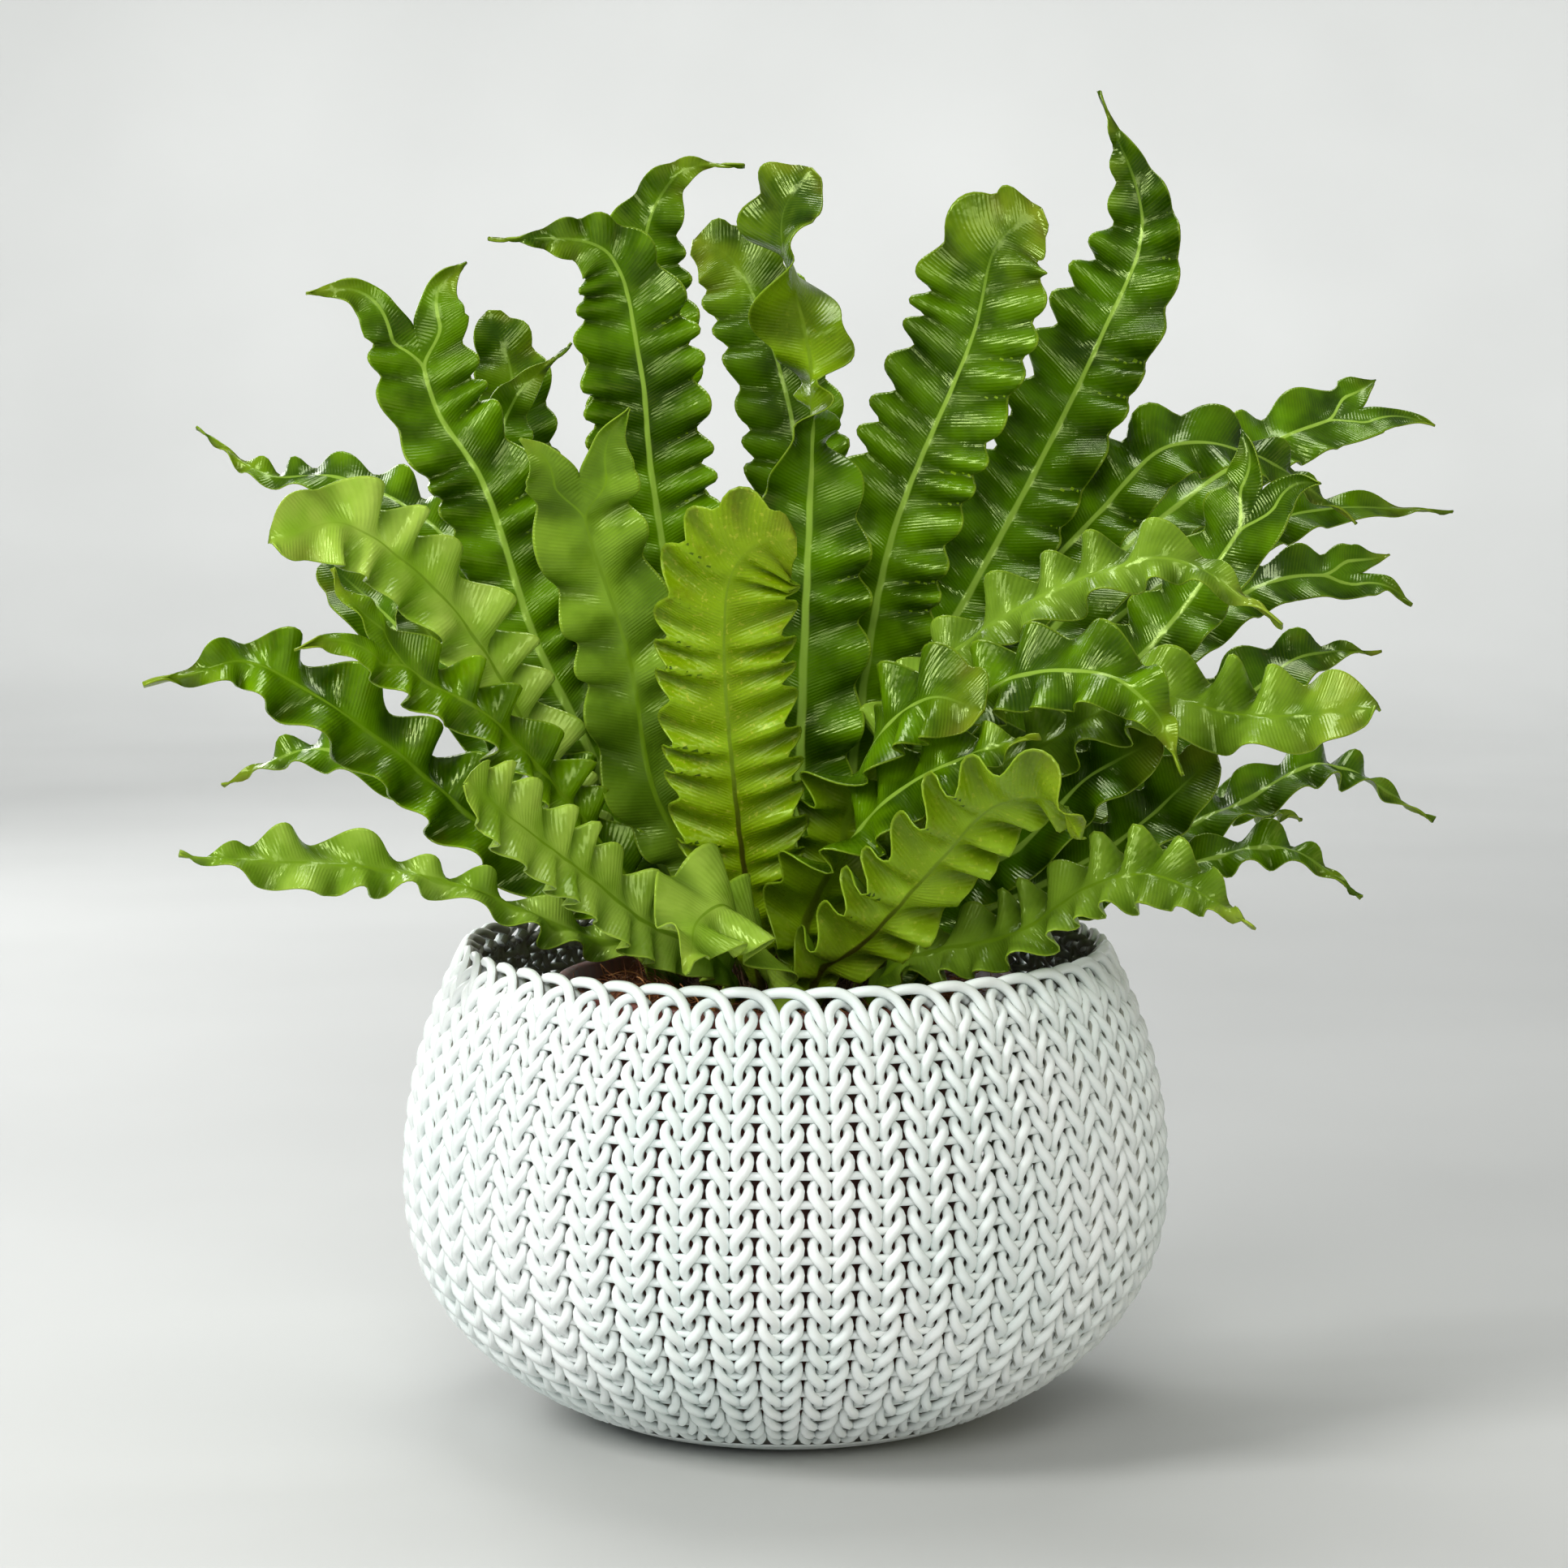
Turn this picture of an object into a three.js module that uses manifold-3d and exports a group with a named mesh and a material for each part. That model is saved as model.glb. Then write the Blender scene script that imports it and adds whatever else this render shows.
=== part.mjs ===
// Potted bird's nest fern with crisp, waved fronds, in a ball-shaped planter with a knitted look.
// Millimetres, +Z up. The origin is the centre of the planter's flat base and the front looks along -Y.
import * as THREE from 'three';
import Module from 'manifold-3d';

const wasm = await Module();
wasm.setup();

// Planter: a round bowl whose side is one ellipse above its belly and a squarer one below it
const PLANTER_HEIGHT = 175;
const BELLY_RADIUS = 140;
const BELLY_HEIGHT = 89;
const UPPER_REACH = 156;
const LOWER_REACH = 97;
const LOWER_POWER = 2.2;
const PLANTER_WALL = 4.5;
const KNIT_WALES = 18;
const KNIT_ROWS = 8;
const KNIT_RELIEF = 2;
const RIM_SCALLOP = 1.5;

// Nursery pot inside it, the potting mix and the crown that the fronds grow from
const POT_TOP = 160;
const POT_RIM_RADIUS = 84;
const POT_BASE_RADIUS = 58;
const POT_WALL = 2;
const POT_LIP = 2.5;
const POT_LIP_HEIGHT = 9;
const DRAIN_HOLES = 6;
const DRAIN_RADIUS = 5;
const SOIL_TOP = 151;
const SOIL_BUMP = 1.6;
const CROWN_RADIUS = 50;
const CROWN_EDGE = 3;
const CROWN_RISE = 8;
const CROWN_DEPTH = 14;
const GAP = 0.3;

// Fronds: where they stand in the crown and how their blades are built
const SPOT_SPACING = 10.5;
const SPOT_RADIUS = 42;
const SPOT_PULL = 0.62;
const STIPE_DEPTH = 6;
const STIPE_WIDTH = 4.6;
const STIPE_THICKNESS = 3;
const BLADE_THICKNESS = 0.8;
const STATION_STEP = 12.5;
const ARM_STEPS = 3;
const MARGIN_LOBE = 0.1;
const CUP = 0.12;
const TIP_HALF_WIDTH = 0.8;

const COLOURS = {
  planter: 0xe9f1ef,
  pot: 0x5a2f26,
  soil: 0x4d3423,
  crown: 0x2e2418,
  frond: 0x4f9a26,
};

// Each frond: width of the blade, height of its waves, kind of tip and the points that its rib passes, from just
// above the crown outwards. A fork has two arms, each with its length and the angle that it turns outwards.
const FRONDS = [
  { name: 'upright_1', width: 43, wave: 5, tip: 'tail',
    rib: [[10, 15, 185], [32, 22, 240], [68, 32, 298], [117, 47, 392], [132, 53, 433], [116, 60, 482]] },
  { name: 'upright_2', width: 46, wave: 4.5, tip: 'tail',
    rib: [[18, -4, 197], [24, -4, 236], [38, -4, 319], [69, -4, 392], [77, -4, 425], [99, -4, 432]] },
  { name: 'upright_3', width: 44, wave: 6, tip: 'blunt', twist: [330, 0.55, 1],
    rib: [[5, -18, 196], [5, -18, 234], [9, -18, 348], [9, -18, 382], [-1, -18, 433], [9, -18, 451]] },
  { name: 'upright_4', width: 37, wave: 4.5, tip: 'blunt',
    rib: [[7, 30, 217], [5, 56, 305], [2, 72, 362], [-20, 90, 420], [-35, 95, 428]] },
  { name: 'upright_5', width: 42, wave: 4.5, tip: 'tail',
    rib: [[-20, 4, 190], [-35, -2, 265], [-48, -9, 343], [-52, -13, 383], [-64, -16, 422], [-105, -20, 426]] },
  { name: 'upright_6', width: 40, wave: 4.5, tip: 'tail',
    rib: [[-20, 22, 217], [-46, 32, 307], [-52, 37, 372], [-52, 40, 427], [-38, 42, 452], [-15, 44, 454]] },
  { name: 'upright_7', width: 41, wave: 4, tip: 'fork', arms: [[22, 42], [28, 44]], slender: 0.6,
    rib: [[-20, -18, 185], [-46, -31, 229], [-55, -44, 280], [-69, -58, 327], [-71, -62, 343]] },
  { name: 'upright_8', width: 45, wave: 3.2, tip: 'tail', underside: true,
    rib: [[-12, -38, 185], [-18, -65, 239], [-21, -83, 288], [-17, -94, 318], [-5, -101, 332], [14, -108, 330]] },
  { name: 'left_1', width: 37, wave: 5, tip: 'fork', arms: [[40, 88], [28, 68]], slender: 0.55,
    rib: [[-67, 8, 231], [-91, 13, 281], [-111, 19, 340], [-127, 21, 365], [-135, 24, 394]] },
  { name: 'left_2', width: 30, wave: 4.5, tip: 'tail', slender: 0.55,
    rib: [[-54, 28, 213], [-93, 47, 288], [-108, 55, 336], [-102, 61, 367], [-80, 66, 389]] },
  { name: 'left_3', width: 28, wave: 4.5, tip: 'blunt', slender: 0.55,
    rib: [[-54, 50, 212], [-95, 85, 304], [-107, 107, 384], [-115, 112, 401]] },
  { name: 'left_4', width: 25, wave: 4, tip: 'tail',
    rib: [[-64, 60, 201], [-109, 97, 284], [-137, 116, 318], [-174, 134, 336], [-205, 146, 337], [-234, 160, 355]] },
  { name: 'left_5', width: 31, wave: 5.5, tip: 'blunt', slender: 0.55,
    rib: [[-78, -26, 221], [-99, -53, 272], [-114, -66, 297], [-128, -76, 313], [-151, -89, 329], [-173, -100, 323]] },
  { name: 'left_6', width: 24, wave: 5, tip: 'fork', arms: [[32, 50], [28, 26]],
    rib: [[-59, -30, 202], [-86, -63, 243], [-106, -84, 266], [-120, -91, 274], [-138, -102, 289]] },
  { name: 'left_7', width: 30, wave: 6.5, tip: 'tail',
    rib: [[-61, -10, 185], [-100, -23, 211], [-147, -39, 253], [-189, -51, 279], [-203, -55, 276], [-223, -60, 271]] },
  { name: 'left_8', width: 22, wave: 4, tip: 'tail', slender: 0.55,
    rib: [[-62, 18, 192], [-110, 27, 214], [-172, 47, 238], [-195, 54, 232], [-212, 60, 223]] },
  { name: 'left_9', width: 25, wave: 5.5, tip: 'tail',
    rib: [[-37, -36, 173], [-68, -45, 180], [-114, -58, 201], [-150, -68, 209], [-179, -77, 212], [-208, -86, 215]] },
  { name: 'left_10', width: 31, wave: 6, tip: 'blunt',
    rib: [[-25, -56, 175], [-49, -78, 191], [-67, -97, 209], [-84, -115, 225], [-105, -140, 246]] },
  { name: 'left_11', width: 28, wave: 4.5, tip: 'blunt', slender: 0.55,
    rib: [[-40, 15, 189], [-64, 24, 244], [-91, 34, 306], [-99, 34, 321]] },
  { name: 'left_12', width: 28, wave: 4.5, tip: 'blunt', slender: 0.55,
    rib: [[-72, 34, 198], [-110, 59, 244], [-138, 76, 273], [-177, 100, 306]] },
  { name: 'left_13', width: 26, wave: 4.5, tip: 'blunt', slender: 0.55,
    rib: [[-44, -4, 199], [-80, -6, 231], [-108, -11, 261], [-138, 1, 296]] },
  { name: 'right_1', width: 38, wave: 7, tip: 'blunt', underside: true,
    rib: [[12, -64, 172], [26, -80, 184], [51, -104, 215], [70, -122, 237], [88, -134, 240], [97, -142, 228]] },
  { name: 'right_2', width: 30, wave: 6, tip: 'tail',
    rib: [[40, -50, 172], [80, -71, 186], [105, -88, 205], [122, -97, 210], [138, -107, 206], [157, -120, 195]] },
  { name: 'right_3', width: 18, wave: 4.5, tip: 'tail',
    rib: [[68, -8, 177], [106, -11, 189], [141, -14, 201], [178, -17, 209], [207, -20, 192]] },
  { name: 'right_4', width: 24, wave: 4.5, tip: 'tail',
    rib: [[69, 8, 180], [108, 14, 197], [168, 34, 219], [200, 41, 233], [243, 50, 211]] },
  { name: 'right_5', width: 31, wave: 6.5, tip: 'blunt',
    rib: [[46, -22, 216], [94, -54, 252], [124, -70, 268], [159, -86, 263], [199, -105, 268]] },
  { name: 'right_6', width: 33, wave: 5, tip: 'tail', slender: 0.6,
    rib: [[40, -40, 206], [55, -56, 241], [73, -77, 273], [110, -107, 278], [124, -116, 266], [132, -125, 247]] },
  { name: 'right_7', width: 36, wave: 4, tip: 'tail',
    rib: [[70, 28, 193], [109, 45, 222], [172, 59, 256], [194, 66, 271], [226, 74, 273]] },
  { name: 'right_8', width: 25, wave: 4, tip: 'fork', arms: [[17, 10], [22, 56]],
    rib: [[70, 46, 203], [112, 70, 244], [147, 86, 273], [185, 99, 297], [221, 110, 300]] },
  { name: 'right_9', width: 20, wave: 3.5, tip: 'tail',
    rib: [[38, 46, 204], [104, 104, 262], [150, 130, 296], [204, 157, 321], [270, 185, 321]] },
  { name: 'right_10', width: 32, wave: 4, tip: 'fork', slender: 0.6, arms: [[17, 18], [28, 54]],
    rib: [[26, 36, 206], [88, 87, 263], [127, 113, 305], [187, 146, 347], [228, 165, 362]] },
  { name: 'right_11', width: 34, wave: 4.5, tip: 'tail',
    rib: [[48, 22, 231], [75, 33, 280], [116, 38, 327], [142, 45, 351], [173, 51, 348], [214, 60, 322]] },
  { name: 'right_12', width: 33, wave: 4, tip: 'fork', arms: [[23, 60], [22, 70]],
    rib: [[59, -6, 212], [97, -11, 251], [132, -15, 283], [164, -19, 327], [168, -20, 335]] },
  { name: 'right_13', width: 26, wave: 6, tip: 'tail', slender: 0.6,
    rib: [[30, -24, 232], [46, -32, 267], [74, -50, 293], [108, -70, 311], [133, -80, 316], [168, -95, 295]] },
  { name: 'right_14', width: 36, wave: 6, tip: 'tail', underside: true, twist: [90, 0.35, 0.6],
    rib: [[8, -54, 190], [18, -72, 212], [37, -87, 236], [64, -102, 252], [85, -112, 259]] },
  { name: 'right_15', width: 36, wave: 6, tip: 'blunt', underside: true, twist: [90, 0.45, 0.75], slender: 0.6,
    rib: [[18, -40, 203], [26, -61, 241], [37, -79, 261], [51, -92, 270], [67, -100, 266]] },
  { name: 'right_16', width: 28, wave: 4.5, tip: 'blunt',
    rib: [[58, -34, 194], [84, -44, 214], [106, -51, 238], [131, -60, 253]] },
  { name: 'right_17', width: 30, wave: 4, tip: 'blunt',
    rib: [[62, -27, 182], [87, -29, 195], [119, -34, 214], [152, -40, 245]] },
  { name: 'front_1', width: 46, wave: 8, tip: 'tail', slender: 0.28,
    rib: [[-6, -62, 174], [-13, -84, 189], [-22, -102, 200], [-30, -113, 196], [-32, -136, 183]] },
  { name: 'back_1', width: 34, wave: 5, tip: 'tail', slender: 0.6,
    rib: [[22, 48, 174], [36, 78, 214], [62, 130, 246], [94, 192, 240]] },
  { name: 'back_2', width: 35, wave: 6, tip: 'tail',
    rib: [[8, 50, 174], [34, 108, 204], [62, 170, 224], [84, 235, 205]] },
  { name: 'back_3', width: 38, wave: 5, tip: 'blunt',
    rib: [[-2, 42, 190], [0, 84, 250], [8, 130, 296], [16, 188, 296]] },
  { name: 'back_4', width: 34, wave: 6, tip: 'tail',
    rib: [[-8, 50, 170], [-14, 115, 198], [-22, 185, 213], [-30, 240, 193]] },
  { name: 'back_5', width: 38, wave: 5, tip: 'tail',
    rib: [[-14, 32, 190], [-30, 72, 250], [-48, 130, 292], [-66, 190, 288]] },
  { name: 'back_6', width: 34, wave: 6, tip: 'tail',
    rib: [[-24, 48, 170], [-48, 108, 210], [-74, 168, 238], [-102, 222, 222]] },
  { name: 'back_7', width: 32, wave: 5, tip: 'tail',
    rib: [[-24, 38, 180], [-50, 86, 226], [-86, 132, 262], [-128, 174, 262]] },
  { name: 'back_8', width: 30, wave: 6, tip: 'tail',
    rib: [[46, 46, 168], [94, 76, 192], [150, 108, 212], [206, 148, 200]] },
];
const DEFAULT_SLENDER = 0.4;
const FACE_UP_AND_OUT = new THREE.Vector3(0, -1, 1).normalize();
const FACE_UP_AND_IN = new THREE.Vector3(0, 1, 1).normalize();
const FACE_STATION = 0.6;

/** Seeded random numbers from 0 to 1. */
function randomSource(seed) {
  let state = seed;
  return () => {
    state = (state * 16807) % 2147483647;
    return state / 2147483647;
  };
}

/** 0 below 0, 1 above 1 and a smooth rise between them. */
function smooth(x) {
  return THREE.MathUtils.smoothstep(x, 0, 1);
}

/** Adds the triangles between two closed rings of vertices; a ring of one vertex makes a fan. */
function joinRings(index, startA, countA, startB, countB) {
  const stepsA = countA > 1 ? countA : 0;
  const stepsB = countB > 1 ? countB : 0;
  let i = 0;
  let j = 0;
  while (i < stepsA || j < stepsB) {
    const a = startA + (i % countA);
    const b = startB + (j % countB);
    const takeA = j >= stepsB || (i < stepsA && (i + 1) * stepsB <= (j + 1) * stepsA);
    if (takeA) {
      i += 1;
      index.push(a, startA + (i % countA), b);
    } else {
      j += 1;
      index.push(a, startB + (j % countB), b);
    }
  }
}

/** Closed solid from rings of points, from the bottom centre over the outside to the inside. */
function ringSolid(rings) {
  const positions = [];
  const index = [];
  const starts = [];
  for (const ring of rings) {
    starts.push(positions.length / 3);
    for (const point of ring) positions.push(point.x, point.y, point.z);
  }
  for (let k = 0; k + 1 < rings.length; k += 1) {
    joinRings(index, starts[k], rings[k].length, starts[k + 1], rings[k + 1].length);
  }
  const geometry = new THREE.BufferGeometry();
  geometry.setAttribute('position', new THREE.Float32BufferAttribute(positions, 3));
  geometry.setIndex(index);
  return geometry;
}

/** Ring of points; radius and height may be numbers or functions of the point's number. */
function ring(count, radius, height) {
  const at = (value, k) => (typeof value === 'function' ? value(k) : value);
  return Array.from({ length: count }, (_, k) => {
    const angle = (2 * Math.PI * k) / count;
    const r = at(radius, k);
    return new THREE.Vector3(r * Math.cos(angle), r * Math.sin(angle), at(height, k));
  });
}

function centre(height) {
  return [new THREE.Vector3(0, 0, height)];
}

/** Library solid of a closed geometry. */
function toSolid(geometry) {
  const mesh = new wasm.Mesh({
    numProp: 3,
    vertProperties: new Float32Array(geometry.getAttribute('position').array),
    triVerts: new Uint32Array(geometry.getIndex().array),
  });
  mesh.merge();
  return new wasm.Manifold(mesh);
}

/** Geometry of the largest body of a solid. */
function toGeometry(solid) {
  const bodies = solid.decompose();
  const largest = bodies.reduce((best, body) => (body.volume() > best.volume() ? body : best));
  const mesh = largest.getMesh();
  const geometry = new THREE.BufferGeometry();
  geometry.setAttribute('position', new THREE.Float32BufferAttribute(mesh.vertProperties, 3));
  geometry.setIndex(Array.from(mesh.triVerts));
  return geometry;
}

/** Radius of the planter's side at a height. */
function planterRadius(z) {
  const upper = z > BELLY_HEIGHT;
  const reach = upper ? UPPER_REACH : LOWER_REACH;
  const power = upper ? 2 : LOWER_POWER;
  return BELLY_RADIUS * (1 - (Math.abs(z - BELLY_HEIGHT) / reach) ** power) ** (1 / power);
}

/** Side of the planter from base to rim, as a curve that can be walked at even steps. */
function planterSide() {
  const samples = 60;
  const points = [];
  for (let k = 0; k <= samples; k += 1) {
    const z = (PLANTER_HEIGHT * k) / samples;
    points.push(new THREE.Vector2(planterRadius(z), z));
  }
  return new THREE.SplineCurve(points);
}

/** Bowl with rows of V-shaped stitches as relief, a scalloped rim, a plain inside and a flat base. */
function planterGeometry() {
  const side = planterSide();
  const columns = KNIT_WALES * 4;
  const lines = KNIT_ROWS * 2;
  const rowStep = 1 / (KNIT_ROWS + 1);
  const isLeg = (k) => k % 2 === 1;
  const rise = [1, 0.5, 0, 0.5];
  const rings = [centre(0), ring(columns, planterRadius(0), 0)];
  for (let line = 1; line < lines; line += 1) {
    const along = ((line + 0.5) / (lines + 1));
    const lean = Math.min(1, (lines - line) / 2, line / 2) * rowStep;
    const place = (k) => side.getPointAt(along + lean * (rise[k % 4] - 0.5));
    const groove = line % 2 === 0;
    const lift = (k) => (groove || !isLeg(k) ? -KNIT_RELIEF / 2 : KNIT_RELIEF / 2);
    rings.push(ring(columns, (k) => place(k).x + lift(k), (k) => place(k).y));
  }
  const rimRadius = planterRadius(PLANTER_HEIGHT);
  const scallop = (k) => (isLeg(k) ? RIM_SCALLOP : 0);
  rings.push(ring(columns, rimRadius, (k) => PLANTER_HEIGHT - 3 + scallop(k)));
  rings.push(ring(columns, rimRadius - PLANTER_WALL / 2, (k) => PLANTER_HEIGHT - RIM_SCALLOP + scallop(k)));
  rings.push(ring(columns / 2, rimRadius - PLANTER_WALL, PLANTER_HEIGHT - 4));
  for (const height of [140, 89, 45, 16]) {
    rings.push(ring(columns / 2, planterRadius(height) - PLANTER_WALL * 1.4, height));
  }
  rings.push(ring(columns / 2, planterRadius(PLANTER_WALL) - PLANTER_WALL * 2, PLANTER_WALL));
  rings.push(centre(PLANTER_WALL));
  return ringSolid(rings);
}

/** Radius of the nursery pot's outside at a height. */
function potRadius(z) {
  const base = PLANTER_WALL + GAP;
  return THREE.MathUtils.mapLinear(z, base, POT_TOP, POT_BASE_RADIUS, POT_RIM_RADIUS - POT_LIP);
}

/** Tapered pot with a lip round its rim and drain holes in its floor. */
function potGeometry() {
  const sides = 36;
  const base = PLANTER_WALL + GAP;
  const floor = base + POT_WALL;
  const lipBottom = POT_TOP - POT_LIP_HEIGHT;
  const shell = toSolid(ringSolid([
    centre(base),
    ring(sides, potRadius(base), base),
    ring(sides, potRadius(lipBottom), lipBottom),
    ring(sides, potRadius(lipBottom) + POT_LIP, lipBottom + 1),
    ring(sides, POT_RIM_RADIUS, POT_TOP),
    ring(sides, POT_RIM_RADIUS - POT_LIP - POT_WALL, POT_TOP),
    ring(sides, potRadius(floor) - POT_WALL, floor),
    centre(floor),
  ]));
  const holes = ring(DRAIN_HOLES, POT_BASE_RADIUS * 0.65, base).map((point) => {
    const outline = ring(8, DRAIN_RADIUS, -POT_WALL).map((corner) => corner.add(point));
    const lid = outline.map((corner) => corner.clone().setZ(floor + POT_WALL));
    return toSolid(ringSolid([[point.clone().setZ(base - POT_WALL)], outline, lid, [point.clone().setZ(floor + POT_WALL)]]));
  });
  return toGeometry(holes.reduce((solid, hole) => solid.subtract(hole), shell));
}

/** Potting mix that fills the pot, with a rough top and a plain hole for the crown. */
function soilGeometry() {
  const random = randomSource(7);
  const sides = 36;
  const floor = PLANTER_WALL + GAP + POT_WALL + GAP;
  const wallGap = POT_WALL + GAP;
  const rough = () => SOIL_TOP + SOIL_BUMP * (2 * random() - 1);
  const hole = CROWN_RADIUS + GAP;
  const holeFloor = SOIL_TOP - CROWN_DEPTH - GAP;
  return ringSolid([
    centre(floor),
    ring(sides, potRadius(floor) - wallGap - GAP, floor),
    ring(sides, potRadius(SOIL_TOP) - wallGap - GAP, SOIL_TOP - SOIL_BUMP),
    ring(sides, (k) => 0.66 * potRadius(SOIL_TOP) + 0.33 * hole - (k % 2), rough),
    ring(sides, hole + 7, rough),
    ring(sides, hole, SOIL_TOP + 0.5),
    ring(sides, hole, holeFloor),
    centre(holeFloor),
  ]);
}

/** Height of the crown's domed top at a distance from its axis. */
function crownTop(radius) {
  return SOIL_TOP + CROWN_EDGE + CROWN_RISE * (1 - (Math.min(radius, CROWN_RADIUS) / CROWN_RADIUS) ** 2);
}

/** Places of the stipes: each is drawn towards its frond, then they push each other apart. */
function crownSpots() {
  const random = randomSource(3);
  const spots = FRONDS.map(({ rib }) => {
    const spot = new THREE.Vector2(rib[0][0], rib[0][1]).multiplyScalar(SPOT_PULL);
    spot.x += random() - 0.5;
    spot.y += random() - 0.5;
    return spot.clampLength(0, SPOT_RADIUS);
  });
  const rounds = 300;
  for (let round = 0; round < rounds; round += 1) {
    const moves = spots.map((spot) => {
      const move = new THREE.Vector2();
      for (const other of spots) {
        const away = spot.clone().sub(other);
        const distance = away.length();
        if (distance > 0 && distance < SPOT_SPACING) {
          move.addScaledVector(away, (SPOT_SPACING - distance) / distance / 4);
        }
      }
      return move;
    });
    spots.forEach((spot, k) => spot.add(moves[k]).clampLength(0, SPOT_RADIUS));
  }
  return spots;
}

/** Rib of a frond from the bottom of its hole in the crown to its tip, as evenly spaced stations. */
function ribStations(frond, spot) {
  const foot = new THREE.Vector3(spot.x, spot.y, crownTop(spot.length()) - STIPE_DEPTH);
  const points = [foot, ...frond.rib.map((point) => new THREE.Vector3(...point))];
  const curve = new THREE.CatmullRomCurve3(points, false, 'centripetal');
  return curve.getSpacedPoints(Math.round(curve.getLength() / STATION_STEP));
}

/** Tangent, normal and lateral direction at each station, turned about the rib no more than the frond asks. */
function bladeFrames(frond, stations) {
  const last = stations.length - 1;
  const tangents = stations.map((_, i) => new THREE.Vector3()
    .subVectors(stations[Math.min(i + 1, last)], stations[Math.max(i - 1, 0)]).normalize());
  const square = (vector, axis) => vector.clone().addScaledVector(axis, -vector.dot(axis)).normalize();
  const face = frond.underside ? FACE_UP_AND_IN : FACE_UP_AND_OUT;
  const normals = [square(face, tangents[0])];
  for (let i = 1; i <= last; i += 1) normals.push(square(normals[i - 1], tangents[i]));
  const middle = Math.round(last * FACE_STATION);
  const wished = square(face, tangents[middle]);
  const side = new THREE.Vector3().crossVectors(tangents[middle], normals[middle]);
  const roll = Math.atan2(side.dot(wished), normals[middle].dot(wished));
  const [degrees, from, to] = frond.twist ?? [0, 0, 1];
  return stations.map((_, i) => {
    const twist = THREE.MathUtils.degToRad(degrees) * smooth((i / last - from) / (to - from));
    const normal = normals[i].clone().applyAxisAngle(tangents[i], roll + twist);
    return { tangent: tangents[i], normal, lateral: new THREE.Vector3().crossVectors(tangents[i], normal) };
  });
}

/** Half the blade's width at a fraction of the frond's length. */
function halfWidth(frond, s) {
  const base = STIPE_WIDTH / frond.width;
  const grown = base + (1 - base) * smooth(s / (frond.slender ?? DEFAULT_SLENDER)) ** 0.8;
  const tipStart = { tail: 0.76, blunt: 0.86, fork: 1 }[frond.tip];
  const t = tipStart < 1 ? THREE.MathUtils.clamp((s - tipStart) / (1 - tipStart), 0, 1) : 0;
  const end = frond.tip === 'tail'
    ? 0.05 + 0.95 * (1 - Math.min(1, t / 0.82) ** 1.3)
    : Math.sqrt(Math.max(0, 1 - t ** 2.4));
  return Math.max(TIP_HALF_WIDTH, (frond.width / 2) * grown * end);
}

/** Thickness of the blade: a stout stipe that thins out into the leaf. */
function thicknessAt(s) {
  return BLADE_THICKNESS + (STIPE_THICKNESS - BLADE_THICKNESS) * (1 - smooth(s / 0.22));
}

/** Height of the waves at a fraction of the length: none at the stipe, less towards the tip. */
function waveHeight(frond, s) {
  return frond.wave * smooth(s / 0.3) * (1 - 0.6 * smooth((s - 0.8) / 0.2));
}

/** Middle surface of a blade: three points across the rib at each station, and two across each arm of a fork. */
function bladeSheet(frond, stations, number) {
  const frames = bladeFrames(frond, stations);
  const last = stations.length - 1;
  const points = [];
  const thickness = [];
  const triangles = [];
  const addRow = (row, s) => {
    const start = points.length;
    points.push(...row);
    for (let k = 0; k < row.length; k += 1) thickness.push(thicknessAt(s));
    return row.map((_, k) => start + k);
  };
  const addStrip = (before, after, flip) => {
    const [a, b] = before;
    const [c, d] = after;
    if (flip) triangles.push([a, b, c], [b, d, c]);
    else triangles.push([a, b, d], [a, d, c]);
  };
  let previous = null;
  let ending = null;
  stations.forEach((station, i) => {
    const s = i / last;
    const { normal, lateral } = frames[i];
    const edge = (side) => {
      const sign = (i % 2 ? 1 : -1) * (number % 2 && side > 0 ? -1 : 1);
      const reach = halfWidth(frond, s) * (1 + MARGIN_LOBE * sign * smooth(s / 0.3));
      const height = sign * waveHeight(frond, s) + CUP * reach;
      return station.clone().addScaledVector(lateral, side * reach).addScaledVector(normal, height);
    };
    const row = addRow([edge(-1), station.clone(), edge(1)], s);
    if (previous) {
      addStrip([previous[0], previous[1]], [row[0], row[1]], i % 2 === 0);
      addStrip([previous[1], previous[2]], [row[1], row[2]], i % 2 === 1);
    }
    previous = row;
    ending = { frame: frames[i], reach: halfWidth(frond, s) };
  });
  for (const side of frond.tip === 'fork' ? [-1, 1] : []) {
    const [length, turn] = frond.arms[side < 0 ? 0 : 1];
    const { tangent, normal, lateral } = ending.frame;
    const middle = stations[last].clone().addScaledVector(lateral, (side * ending.reach) / 2);
    let across = side < 0 ? [previous[0], previous[1]] : [previous[1], previous[2]];
    let direction = tangent;
    for (let k = 1; k <= ARM_STEPS; k += 1) {
      const t = k / ARM_STEPS;
      const bend = side * THREE.MathUtils.degToRad(turn) * (1 - (1 - t) ** 2);
      const next = tangent.clone().multiplyScalar(Math.cos(bend)).addScaledVector(lateral, Math.sin(bend));
      middle.addScaledVector(direction.clone().add(next).normalize(), length / ARM_STEPS);
      direction = next;
      const sideways = lateral.clone().multiplyScalar(Math.cos(bend)).addScaledVector(tangent, -Math.sin(bend));
      const reach = Math.max(TIP_HALF_WIDTH, (ending.reach / 2) * (1 + 0.3 * Math.sin(Math.PI * t)) * (1 - t ** 1.9));
      const lift = (value) => middle.clone().addScaledVector(sideways, value).addScaledVector(normal, CUP * reach);
      const row = addRow([lift(-reach), lift(reach)], 1);
      addStrip(across, row, side > 0);
      across = row;
    }
  }
  return { points, thickness, triangles };
}

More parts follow.
